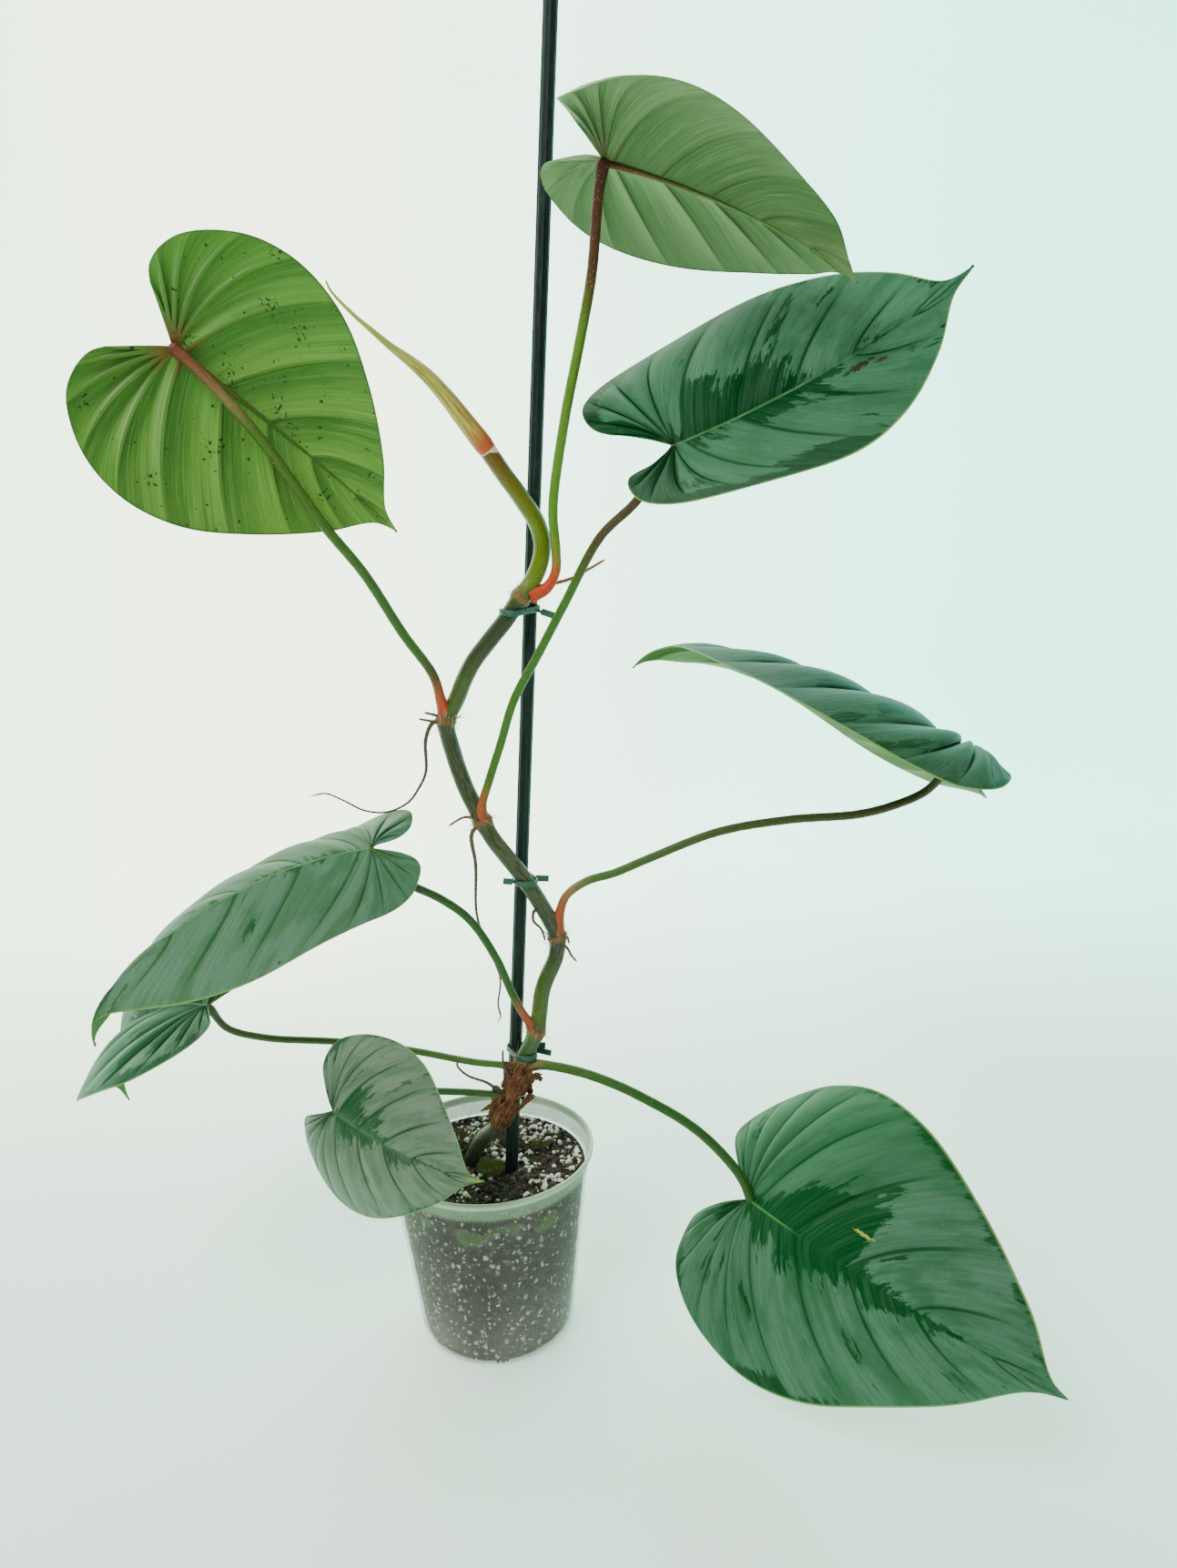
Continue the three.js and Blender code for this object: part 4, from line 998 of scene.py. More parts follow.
# %% [markdown]
# ## The form of a leaf
# A leaf is a heart-shaped sheet with eleven pairs of veins that curve from the midrib to the margin.
# All eight share one form, so no leaf is sculpted: a place on the flat heart is lifted between the
# veins, bent across and along, and set at the end of its stalk. The solids come from the same numbers,
# with fewer rows and straighter veins.

# %% Leaf measures
VEIN_PAIRS, BASAL_SHARE, PUFF, WAVES = 11, 0.56, 0.018, 2.5
HALF_WIDTH, LOBE_REACH, TIP_BEND_START = 0.515, 0.475, 0.72
HALF_OUTLINE = [(0, 0), (-0.12, 0.078), (-0.235, 0.175), (-0.24, 0.31), (-0.1, 0.45), (0.12, 0.515),
                (0.36, 0.475), (0.6, 0.335), (0.8, 0.165), (0.915, 0.032), (1, 0)]


def leaf(stalk, length, width, lopside, lobe, slim, wave, phase, turn, bend, section, petiole, puff=(1, 1)):
    """The numbers of one leaf: turn is how it is set, bend how its midrib runs, section its cross bend."""
    azimuth, rise, roll = turn
    droop, hook, hang = bend
    fold, lean, cup, slack, twist, sweep = section
    return dict(
        stalk=stalk, length=length, width=width, lopside=lopside, lobe=lobe, slim=slim, wave=wave,
        phase=phase, azimuth=azimuth, rise=rise, roll=roll, droop=droop, hook=hook, hang=hang,
        fold=fold, lean=lean, cup=cup, slack=slack, twist=twist, sweep=sweep, puff=puff,
        petiole=np.array(petiole, float))


print("half a heart is drawn by", len(HALF_OUTLINE), "points")

# %% The eight leaves' measures
LEAVES = {
    "leaf_1": leaf(2.4, 126.5, 1.02, -0.07, 0.8, (0.06, 0.16), (0.007, 0.069), (225, -15), (-4, -15, -39.5),
        (38, 9, 34), (23.5, 16, 55, -9, -13.5, -0.05),
        [(36, -11, 430), (44, -12, 433), (49, -13, 441), (49.5, -15, 452), (48.5, -18, 472),
        (55, -27, 514), (62, -35, 546), (68, -42, 576), (71, -47, 606), (74, -48, 621)], (2.2, 0.6)),
    "leaf_2": leaf(2.2, 154.5, 1.07, -0.027, 0.85, (0.235, 0.155), (0.012, 0.031), (98, -50), (-3, 19.5, 45),
        (-15, -14, -40), (14.5, -1, 11.5, 35, 26.5, 0.073),
        [(6, -9, 311), (6, -13.5, 322), (10, -16, 335), (17, -18, 355), (25, -22, 379), (37, -28, 401),
        (51, -34, 427), (69, -40, 459), (85, -44, 474), (96, -47, 488), (104, -48, 500)]),
    "leaf_3": leaf(2.4, 123.5, 1.1, 0, 0.98, (0, 0), (0.01, 0.012), (60, -40), (28, -37, -68), (26, 9, 50),
        (-10, 0, 20, 0, 0, 0.017),
        [(-10, -6, 368), (-12, -9, 378), (-15, -14, 392), (-28, -26, 415), (-44, -38, 446),
        (-59, -44.5, 467.5), (-74, -47, 491.5), (-86.5, -49.5, 511), (-103.5, -56.5, 533),
        (-116, -54, 546)], (1.4, 1.4)),
    "leaf_4": leaf(2.3, 187.5, 0.922, -0.012, 0.631, (-0.109, -0.136), (0.016, 0.031), (-59, -203),
        (149.5, 31, 32), (31.5, 55.5, 8.5), (-5, 1.5, 17.5, 36.5, -5, 0.019),
        [(43, -11, 247), (45, -13, 261), (49, -14, 270), (60, -14, 277), (75, -15, 281), (94, -15, 288),
        (131, -17, 301), (169, -19, 306), (207, -20, 307), (226, -21, 311), (243, -22, 318),
        (251, -25, 328), (256, -28.5, 342)], (1.6, 1.2)),
    "leaf_5": leaf(2.2, 168, 0.63, -0.16, 0.8, (-0.15, -0.13), (0.033, 0.056), (7, 181), (204.5, 2.5, -35.5),
        (58, 52, 52.5), (-49.5, -27, 1.5, -55.5, 28, 0.167),
        [(29, -17, 194), (23, -20, 204), (17, -22, 218), (9, -25, 241), (-4, -28, 265), (-18, -30, 278),
        (-34, -32, 288), (-43, -42, 299), (-48, -50, 308), (-49, -57, 316)]),
    "leaf_6": leaf(1.9, 140, 0.96, 0, 0.85, (0, 0), (0.01, 0.01), (30, 200), (142, -6, -17), (68, 29, -30),
        (28, -10, 37, 0, -21, 0.08),
        [(20, -17, 171), (11, -19, 175), (-6, -20, 179), (-40, -20, 189), (-76, -20, 197),
        (-116, -20, 203), (-134, -22, 211), (-142, -25, 226)]),
    "leaf_7": leaf(1.9, 91.5, 1, 0, 1.04, (0, 0), (0.008, 0.01), (80, 10), (310, -8, 77), (25, 30, 31),
        (-1, -10, 36, 0, -12, 0.035),
        [(14, -17, 156), (6, -21, 159), (-7, -28, 165), (-25, -40, 174), (-44, -53, 183), (-61, -64, 188),
        (-71, -71, 189), (-76, -74, 186)]),
    "leaf_8": leaf(2.6, 190, 0.92, 0, 1.25, (0, 0), (0.012, 0.016), (-30, 100), (289, 7, 42), (42, 60, 55),
        (-9, 11, 19, 0, 21, 0.09),
        [(22, -17, 173), (32, -20, 174), (53, -25, 170), (72, -32, 164), (86, -38, 158), (105, -46, 148),
        (118, -52, 138), (133, -58, 120), (138, -60, 105)]),
}
print("the longest midrib is", max(numbers["length"] for numbers in LEAVES.values()), "mm")

# %% Where each vein runs
outline = smooth_line([(x, y, 0) for x, y in HALF_OUTLINE], 400)
outline_share = np.linspace(0, 1, len(outline))
FIRST_VEIN_END = 0.16           # how far round the half outline the first vein ends
LEAN_PLACES = np.linspace(0, 1, 11)
# How far a vein leans forward for each step sideways, where it leaves the midrib
VEIN_LEANS = [-1.5, -1.4, -1.15, -0.85, -0.45, -0.1, 0.3, 0.6, 0.8, 1.0, 1.2]


def round_margin(vein):
    """How far round the half outline a vein ends. The first one skips the narrow sinus."""
    return np.interp(vein, [0, 1 / VEIN_PAIRS, 1], [0, FIRST_VEIN_END, 1])


def flat_place(leaf, vein, out, side):
    """Place on the flat blade in midrib lengths: vein runs round the margin, out along the vein."""
    share = round_margin(vein)
    margin_x, margin_y = (np.interp(share, outline_share, outline[:, i]) for i in (0, 1))
    end_x = np.where(margin_x < 0, margin_x * leaf["lobe"], margin_x)
    end_y = margin_y / HALF_WIDTH * leaf["width"] / 2 * (1 + side * leaf["lopside"])
    end_y = end_y * (1 - leaf["slim"][side < 0] * np.maximum(0, end_x))
    start = np.maximum(0, (share - BASAL_SHARE) / (1 - BASAL_SHARE)) ** 1.1
    lean = np.interp(share, LEAN_PLACES, VEIN_LEANS)
    bend_y, rest = end_y * 0.62, 1 - out
    bend_x = start + np.where(lean < 0, lean * leaf["lobe"], lean) * bend_y
    x = start * rest ** 2 + 2 * bend_x * out * rest + end_x * out ** 2
    return x, side * (2 * bend_y * out * rest + end_y * out ** 2)


print("the half outline is", round(float(run_of(outline)[-1]), 2), "midribs long")

# %% From the flat heart to its place in the air
MIDRIB_STEPS = 24


def midrib_turn(leaf, x):
    """How far the midrib has turned down at x, in radians."""
    hook = np.maximum(0, (x - TIP_BEND_START) / (1 - TIP_BEND_START))
    ahead = np.radians(leaf["droop"]) * x + np.radians(leaf["hook"]) * hook ** 2
    return np.where(x < 0, np.radians(leaf["hang"]) * x, ahead)


def midrib_place(leaf, x):
    """Along, up and turn of the midrib at x, summed from its root by short steps."""
    steps = (np.arange(MIDRIB_STEPS) + 0.5) / MIDRIB_STEPS
    turns = midrib_turn(leaf, x[..., None] * steps)
    return np.cos(turns).mean(-1) * x, -np.sin(turns).mean(-1) * x, midrib_turn(leaf, x)


def in_the_air(leaf, x, y, lift):
    """Bends flat places across and along the blade and sets them in the plant, in mm."""
    side = np.where(y < 0, -1, 1)
    fold = np.radians(leaf["fold"] + side * leaf["lean"])
    rate = -np.radians(leaf["cup"] + side * leaf["slack"]) / LOBE_REACH
    reach = np.abs(y)
    across = side * (np.sin(fold + rate * reach) - np.sin(fold)) / rate
    height = (np.cos(fold) - np.cos(fold + rate * reach)) / rate + lift
    twist = np.radians(leaf["twist"]) * x
    sideways = across * np.cos(twist) - height * np.sin(twist) + leaf["sweep"] * np.clip(x, 0, 1) ** 2
    raised = across * np.sin(twist) + height * np.cos(twist)
    along, upward, turn = midrib_place(leaf, x)
    places = np.stack([along + raised * np.sin(turn), sideways, upward + raised * np.cos(turn)], axis=-1)
    axes = turned("Z", leaf["azimuth"]) @ turned("Y", -leaf["rise"]) @ turned("X", leaf["roll"])
    return places * leaf["length"] @ axes.T + leaf["petiole"][-1]


def under_midrib(leaf, x, radius, gap):
    """Middle of a rod of that radius that lies in the fold under the midrib, a gap below both halves."""
    x = np.atleast_1d(np.asarray(x, float))
    opening = math.cos(math.radians(min(0, leaf["fold"])))
    middle = in_the_air(leaf, x, 0 * x, 0 * x)
    upward = unit(middle - in_the_air(leaf, x, 0 * x, 0 * x - 0.01))
    ahead = unit(in_the_air(leaf, x + 0.01, 0 * x, 0 * x) - middle)
    tilt = math.radians(leaf["lean"])
    down = np.cross(upward, ahead) * math.sin(tilt) - upward * math.cos(tilt)
    return middle + down * (np.asarray(radius) / opening + gap).reshape(-1, 1)


tips = [in_the_air(numbers, np.ones(1), np.zeros(1), 0)[0] for numbers in LEAVES.values()]
print("the leaf tips hang at heights of", [round(float(tip[2])) for tip in tips], "mm")

# %% [markdown]
# ## Lift and thickness
# Between two veins the blade swells up, and each vein lies in a sharp valley. A bump could shade this,
# but the swellings show in a leaf's outline, so many rows lie close to each vein, and a formula lifts
# every point.

# %% Lift and thickness
PANEL_ROWS = [0, 0.035, 0.09, 0.17, 0.28, 0.4, 0.52, 0.64, 0.75, 0.85, 0.93, 0.975]
CELLS = 27
VEIN_WIDTH, VEIN_SUNK = 0.03, 0.1                   # in panels, and in mm
MIDRIB_WIDTH, MIDRIB_SUNK, RIPPLE = 1.1, 0.22, 0.0028
BLADE_THICKNESS, VEIN_THICKNESS = 0.62, 0.42        # in mm

veins = np.append(np.concatenate([(np.array(PANEL_ROWS) + i) / VEIN_PAIRS for i in range(VEIN_PAIRS)]), 1)
outs = np.linspace(0, 1, CELLS + 1) ** 1.35


def near_vein(vein):
    """1 on a vein and 0 a little beside it."""
    panel = VEIN_PAIRS * vein % 1
    return np.exp(-((np.minimum(panel, 1 - panel) / VEIN_WIDTH) ** 2))


def lift_of(leaf, x, y, vein, out, side):
    """How far the blade is lifted: full between veins, sunk on them, waved at the margin."""
    half = int(side < 0)
    share = round_margin(vein)
    ends = np.clip(4 * np.minimum(share, 1 - share), 0, 1)
    panel = VEIN_PAIRS * vein % 1
    between = np.sin(np.pi * panel ** 0.85) ** 0.8
    puff = PUFF * leaf["puff"][half] * between * np.sin(np.pi * out ** 0.75)
    angle = 2 * np.pi * WAVES * share + np.radians(leaf["phase"][half])
    wave = leaf["wave"][half] * np.sin(angle) * out ** 3
    ripple = RIPPLE * np.sin(17 * x + 5 * y + side) * np.sin(15 * y - 6 * x + leaf["length"])
    ripple = ripple * out * (1 - out ** 4)
    by_midrib = np.exp(-((y * leaf["length"] / MIDRIB_WIDTH) ** 2)) * np.clip(1 - x, 0, 1)
    sunk = VEIN_SUNK * near_vein(vein) * (1 - out) + MIDRIB_SUNK * by_midrib
    return ends * (puff + wave) + ripple - sunk / leaf["length"]


def skin_depth(vein, out):
    """Thickness of the blade in mm: thin at the margin, thick under the veins."""
    under_vein = near_vein(vein) * (1 - 0.9 * out) * (vein > 0) * (vein < 1)
    return BLADE_THICKNESS * (1 - 0.3 * out ** 4) + VEIN_THICKNESS * under_vein


print(f"each half blade has {len(veins)} rows of {len(outs)} points")

# %% [markdown]
# ## The blade's two skins
# A blade is a thin body. A Solidify modifier would make it equally thick everywhere, and the two sides
# need their own finishes. So the lower skin is the same sheet, moved below by the thickness of each
# place, and a narrow strip joins the two along the margin.

# %% Two skins and the strip between them
def seen_normals(points, faces):
    """Smooth normals of a surface whose points may share their places."""
    _, place = np.unique(np.round(points, 4), axis=0, return_inverse=True)
    place = place.ravel()
    a, b, c, d = (points[faces[:, i]] for i in range(4))
    tilt = np.cross(c - a, d - b)
    total = np.zeros((place.max() + 1, 3))
    for i in range(4):
        np.add.at(total, place[faces[:, i]], tilt)
    return unit(total)[place]


def add_skins(shape, points, faces, depth, edges, **marks):
    """A thin body: the faces, the same again below them, and strips between along the edges."""
    faces = np.array(faces)
    below = points - seen_normals(points, faces) * np.asarray(depth).reshape(-1, 1)
    count = len(points)
    strips = [(b, a, a + count, b + count) for a, b in edges]
    twice = {name: np.concatenate([values, values]) for name, values in marks.items()}
    start = shape.total
    shape.add(np.vstack([points, below]), list(faces) + strips, 0, **twice)
    shape.faces.extend(tuple(int(i) + count + start for i in face[::-1]) for face in faces)
    shape.finishes.extend([1] * len(faces))


skin_trial = Shape()
add_skins(skin_trial, np.eye(4, 3), [(0, 1, 2, 3)], 0.5, [(0, 1)])
print("one face with one strip gives a body of", len(skin_trial.faces), "faces")

# %% One blade
def add_blade(shape, leaf):
    """Both halves of a blade, with the marks vein, across and flat that its finishes read."""
    vein, out = (grid.ravel() for grid in np.meshgrid(veins, outs, indexing="ij"))
    rows, columns = len(veins), len(outs)
    points, across, flat, faces, edges = [], [], [], [], []
    for number, side in enumerate((1, -1)):
        x, y = flat_place(leaf, vein, out, side)
        lift = lift_of(leaf, x, y, vein, out, side)
        points.append(in_the_air(leaf, x, np.where(y == 0, side * 1e-9, y), lift))
        across.append(side * out)
        flat.append(np.stack([x, y, 0 * x], axis=-1) * leaf["length"])
        start = number * rows * columns
        quads = [(a, d, c, b) for a, b, c, d in grid_faces(rows, columns, start=start)]
        rim = [(start + (row + 1) * columns - 1, start + (row + 2) * columns - 1) for row in range(rows - 1)]
        faces += quads if side > 0 else [quad[::-1] for quad in quads]
        edges += [(b, a) for a, b in rim] if side > 0 else rim
    add_skins(shape, np.vstack(points), faces, np.tile(skin_depth(vein, out), 2), edges,
              vein=np.tile(vein, 2), across=np.concatenate(across), flat=np.vstack(flat))


print("each blade has", 4 * (len(veins) - 1) * CELLS, "faces in its two skins")

# %% [markdown]
# ## Stalk, knuckle and rib
# A stalk is thicker where it clasps the stem, swells into a knuckle under the blade and goes on as the
# rib below the midrib. A leaf grows as one, so the three are rods and a ball in the same piece, and
# their mark, along, runs on from one to the next.

# %% Stalk, knuckle and rib
KNUCKLE_SIZE, KNUCKLE_GAP, RIB_GAP = 1.18, 0.5, 0.3


def add_stalk(shape, leaf):
    """The stalk to its knuckle under the blade, and the rib from there to the tip."""
    stalk = leaf["stalk"]
    knuckle = under_midrib(leaf, 0, 0.9 * stalk, KNUCKLE_GAP)[0]
    line = smooth_line(np.vstack([leaf["petiole"][:-1], knuckle]))
    length = run_of(line)[-1]

    def stalk_radius(share, angle, run):
        base = 2 * np.maximum(0, 1 - share / 0.09) ** 2
        swell = 0.22 * stalk * np.exp(-(((length - run) / (2.6 * stalk)) ** 2))
        ridges = 0.018 * np.cos(5 * angle + 0.01 * run) + 0.012 * np.sin(0.7 * run)
        return (stalk + base + swell) * (1 + ridges)

    add_rod(shape, evenly(line, int(length / 1.6)), stalk_radius, sides=18, finish=2, along=(0, 1))
    ball, faces = BALLS[3]
    shape.add(ball * KNUCKLE_SIZE * stalk + knuckle, faces, 2, along=1.0, skin=ball * stalk)

    rib_x = np.linspace(0.004, 0.95, 90)
    rib_radius = stalk * np.interp(rib_x, [0, 0.12, 0.5, 0.95], [0.66, 0.5, 0.26, 0.1])
    rib_path = under_midrib(leaf, rib_x, rib_radius, RIB_GAP)
    add_rod(shape, rib_path, lambda share, angle, run: rib_radius[:, None] * (1 + 0.03 * np.cos(3 * angle)),
            sides=12, finish=2, along=(1, 2))


print("the thickest stalk is", 2 * max(leaf["stalk"] for leaf in LEAVES.values()), "mm across")

# %% [markdown]
# ## What a blade's finish reads
# Both sides of a blade carry the same marks. vein runs round the margin from the notch, 0, to the tip,
# 1. across runs out from the midrib, to 1 on one half and to -1 on the other. flat is the place on the
# flat heart in millimetres. An image would have to be painted for each leaf, while rules in these marks
# follow every vein by themselves.

# %% Read the marks of a blade
class BladeFinish(Finish):
    """The finish of one side of a blade, with the places that its rules are written in."""

    def __init__(self, name, seed, shine):
        super().__init__(name, Specular_IOR_Level=shine)
        self.seed = seed
        self.vein, self.across = self.mark("vein"), self.mark("across")
        self.flat = self.mark("flat", "Vector")
        self.out = self.size(self.across)
        self.panel = self.vein * VEIN_PAIRS
        self.cell = self.node("Math", {"operation": "FLOOR"}, [self.panel])
        self.spread = self.panel - self.cell
        self.to_vein = 0.5 - self.size(self.spread - 0.5)

    def along_veins(self, crowd, stretch, detail, roughness):
        """Noise drawn out along the veins. More of a crowd gives finer fibres."""
        place = self.vector(self.panel * crowd, self.across * stretch, self.seed)
        return self.cloud(place, 1, detail, roughness)

    def among(self, half, first, last):
        """1 where the veins of one half, 1 or -1, lie between two places."""
        return (self.step(self.across * half, 0, 0.001) * self.step(self.vein, first - 0.04, first + 0.02)
                * (1 - self.step(self.vein, last - 0.02, last + 0.04)))


print("a blade's marks: vein, across and flat, in", VEIN_PAIRS, "panels a half")

# %% [markdown]
# ## The silver side
# The upper side looks dusted with silver, because of air under its skin. Dark green shows along midrib
# and margin in tongues and patches that stop at the veins and end in fringes. A draw for each panel
# between veins sets how far its tongue reaches, and noise frays it. Where one real leaf is darker than
# the draw, zones lengthen tongues and edges widen the dark margin. Painted shade darkens the silver
# towards each vein, as in a quilted groove, and painted shades take silver away from parts of a blade
# that catch too much light.

# %% Dark tongues and margin
def dark_parts(side, half, fringe, ragged, reach, patches, zones, edges):
    """1 where the upper side is dark: tongues from the midrib, blotches and the margin."""
    luck, other_luck, third_luck = side.parts(side.node("TexWhiteNoise", {"noise_dimensions": "3D"}, {
        "Vector": side.vector(side.cell, half, side.seed)}, output="Color"))
    tongue = reach * (0.2 + luck) + (0.5 - side.spread) * other_luck * reach * 1.3 + ragged - 0.1
    rim_dark = 0.26 * patches * third_luck
    for which, first, last, extra in zones:
        tongue = tongue + side.among(which, first, last) * extra
    for which, first, last, extra in edges:
        rim_dark = rim_dark + side.among(which, first, last) * extra
    tongues = side.step(tongue - side.out, -0.02, 0.03)
    blotch = side.cloud(
        side.vector(side.panel * 2.2, side.out * 2 + fringe * 0.8, half * 5 + side.seed), 1, 4, 0.65)
    blotches = (side.step(blotch, 0.66 - 0.12 * patches, 0.69 - 0.12 * patches)
                * side.step(other_luck, 0.3, 0.5))
    margin = side.step(side.out + ragged * 0.4 + rim_dark, 1.04, 1.08)
    return side.most(side.most(tongues, blotches), margin)


def scarred(side, colour, grain, scars):
    """Lays small dry scars over the colour: place in mm, radius, how long for its width, and colour."""
    for x, y, radius, long, scar_colour in scars:
        away = side.node("VectorMath", {"operation": "DISTANCE"}, [
            side.stretch(side.flat, (1 / long, 1, 1)), (x / long, y, 0)], output="Value")
        patch = 1 - side.step(away + (grain - 0.5) * radius * 2.5, radius * 0.5, radius)
        colour = side.mix(patch * 0.85, colour, scar_colour)
    return colour


print("dark parts: tongues, blotches and margin")

# %% A finish for the upper side
YOUNG_TIP = (0.26, 0.38, 0.05)


def silver_side(name, silver, dark, middle, reach, patches, rib, rib_end, edge=(0.2, 0.34, 0.1),
                tip=0.0, gloss=0.46, shine=0.15, seed=0.0, scars=(), zones=(), edges=(), painted_shades=()):
    """The upper side. reach is how far dark tongues go, patches how many blotches it has."""
    side = BladeFinish(name, seed, shine)
    mix, step = side.mix, side.step
    flat_x, flat_y, _ = side.parts(side.flat)
    half = side.node("Math", {"operation": "SIGN"}, [side.across])
    fringe = side.cloud(side.vector(side.panel * 9, side.out * 5, half * 9 + seed), 1, 4, 0.68)
    drift = side.cloud(side.vector(flat_x, flat_y, seed * 9), 0.045, 3)
    ragged = (fringe - 0.5) * 0.75 + (drift - 0.5) * 0.5
    fibres, hair = side.along_veins(16, 1.6, 3, 0.6), side.along_veins(42, 1.3, 2, 0.5)
    grain = side.cloud(side.flat, 0.5, 4, 0.65)
    line = (1 - step(side.to_vein, 0.01, 0.04)) * (1 - step(side.out, 0.6, 1.0))
    dark_share = side.most(dark_parts(side, half, fringe, ragged, reach, patches, zones, edges), line * 0.85)
    half_tone = step(
        side.cloud(side.vector(side.panel * 2.6, side.out * 2.2, half * 3 + seed), 1, 4, 0.6), 0.44, 0.62)

    pale = tuple(c * 1.25 for c in silver)
    colour = mix(step(fibres * 0.7 + grain * 0.3, 0.36, 0.64), silver, pale)
    colour = mix(half_tone * 0.6, colour, middle)
    # painted shade: parts of the blade that catch too much light get their silver darkened towards middle
    for which, first, last, share in painted_shades:
        colour = mix(side.among(which, first, last) * share, colour, middle)
    colour = mix((1 - step(hair, 0.36, 0.46)) * 0.4, colour, middle)
    # painted shade: the silver darkens towards each vein, as shade in a quilted groove
    colour = mix(step(side.to_vein, 0.0, 0.2) * -0.3 + 0.3, colour, middle)
    colour = mix(dark_share * (0.72 + 0.28 * step(fibres, 0.35, 0.6)), colour, dark)
    on_rib = (1 - step(side.size(flat_y), 0.3, 0.9)) * (1 - step(flat_x, rib_end * 0.4, rib_end))
    colour = scarred(side, mix(on_rib * 0.85, colour, rib), grain, scars)
    colour = mix(step(side.out, 0.982, 0.994) * 0.75, colour, edge)
    if tip:
        colour = mix(step(side.vein, 0.93, 0.985) * tip, colour, YOUNG_TIP)

    side.set(Base_Color=colour, Roughness=gloss + 0.12 * grain - 0.05 * dark_share)
    side.bump(fibres * 0.5 + hair * 0.4 + grain * 0.3 - line * 0.8, 0.45)
    return side


print("the upper side's rules are ready")

# %% [markdown]
# ## The green side
# Below, the leaf is plain green with thin veins, reddish near the stalk, and old leaves carry small
# dark specks. One noise over the blade would lose its quilted look, so painted shade runs from dark to
# light through each panel, as if lit from one side, and bands says how strongly on either half. paler
# lays painted light over one half, and the cream streaks before the veins near the stalk are partly a
# painted highlight.

# %% Lines, streaks and specks below
def red_near_stalk(side):
    """1 at the end of the stalk and on the veins near it."""
    root = side.node("VectorMath", {"operation": "LENGTH"}, [side.flat], output="Value")
    near_root = (1 - side.step(root, 2, 5)) * 0.6
    red_line = (1 - side.step(root, 4, 18)) * (1 - side.step(side.to_vein, 0.03, 0.07))
    return side.most(near_root, red_line)


def dark_specks(side):
    """1 on small specks, in crowds and alone."""
    crowd = side.step(side.cloud(side.flat, 0.06, 1), 0.6, 0.66)
    dots = side.step(side.cloud(side.flat, 0.6, 3), 0.56, 0.6)
    lone = side.step(side.cloud(side.flat, 0.32, 1), 0.72, 0.75)
    return side.most(crowd * dots, lone)


def cream_highlight_streak(side):
    """1 on a streak before each vein near the stalk, in the middle of its way out: partly cream colour,
    partly painted highlight.
    """
    streak = side.step(side.spread, 0.72, 0.9) * (1 - side.step(side.spread, 0.93, 0.99))
    streak = streak * side.step(side.out, 0.05, 0.2) * (1 - side.step(side.out, 0.45, 0.85))
    return streak * (1 - side.step(side.vein, 0.42, 0.6))


print("the underside's parts: red near the stalk, specks and cream streaks")

# %% A finish for the underside
CREAM_HIGHLIGHT, STALK_RED, SPECK_BROWN = (0.42, 0.56, 0.3), (0.17, 0.05, 0.02), (0.012, 0.02, 0.006)


def green_side(name, light, deep, pale, red=0.0, specks=0.0, bands=(0.8, 0.8), cream=0.4, paler=(0, 0),
               seed=0.0):
    """The underside. bands (the painted panel shade) and paler (painted light over a half) have a value for
    each half, red, specks and cream are strengths.
    """
    side = BladeFinish(name, seed, 0.15)
    mix, step = side.mix, side.step
    left = step(side.across, -0.001, 0.001)
    fibres, hair = side.along_veins(12, 1.4, 3, 0.62), side.along_veins(40, 1.2, 2, 0.5)
    drift = side.cloud(side.flat, 0.05, 3)
    grain = side.cloud(side.flat, 0.7, 4, 0.65)
    banding = left * (bands[0] - bands[1]) + bands[1]
    # painted shade: each panel runs from dark just past one vein to light at the next, as if lit from one
    # side; bands sets how strongly on each half, and elsewhere drift and fibres give random tone
    panel_shade = step(side.spread + (fibres - 0.5) * 0.7, 0.05, 0.95)
    shade = panel_shade * banding + (drift * 0.6 + fibres * 0.4) * (1 - banding)

    colour = mix(shade, deep, light)
    colour = mix(step(fibres, 0.5, 0.72) * 0.3, colour, pale)
    # painted light: paler lays the pale colour evenly over one half, which the lamps leave too dark
    colour = mix(left * (paler[0] - paler[1]) + paler[1], colour, pale)
    colour = mix((1 - step(hair, 0.36, 0.46)) * 0.45, colour, deep)
    colour = mix(step(hair, 0.56, 0.66) * 0.3, colour, pale)
    # partly painted highlight: cream streaks where light catches the ridge before each vein near the stalk
    colour = mix(cream_highlight_streak(side) * cream * step(fibres, 0.3, 0.6), colour, CREAM_HIGHLIGHT)
    # partly painted shade: the thin dark line along each vein deepens the shade at the foot of each panel
    dark_line = (1 - step(side.to_vein, 0.01, 0.04)) * (1 - side.out * 0.7)
    colour = mix(dark_line * 0.7, colour, tuple(c * 0.45 for c in deep))
    if red:
        colour = mix(red_near_stalk(side) * red, colour, STALK_RED)
    if specks:
        colour = mix(dark_specks(side) * specks, colour, SPECK_BROWN)
    colour = mix(step(side.out, 0.982, 0.995) * 0.7, colour, tuple(c * 0.5 for c in deep))
    side.set(Base_Color=colour, Roughness=0.45 + 0.12 * grain)
    side.bump(fibres * 0.6 + hair * 0.4 + grain * 0.3 - dark_line * 0.6, 0.5)
    return side


print("the underside's rules are ready")

# %% [markdown]
# ## Stalk finishes
# A stalk is fresh green on a young leaf, red-brown and warty on an old one, and redder at its base and
# its knuckle. Separate materials would show seams, so one ramp runs along the stalk, from 0 to 1, and
# on along the rib, from 1 to 2, with streaks and small pale pores.

# %% A finish for stalk and rib
STREAK_SHADE, PORE_TAN = (0.45, 0.45, 0.4), (0.36, 0.3, 0.16)


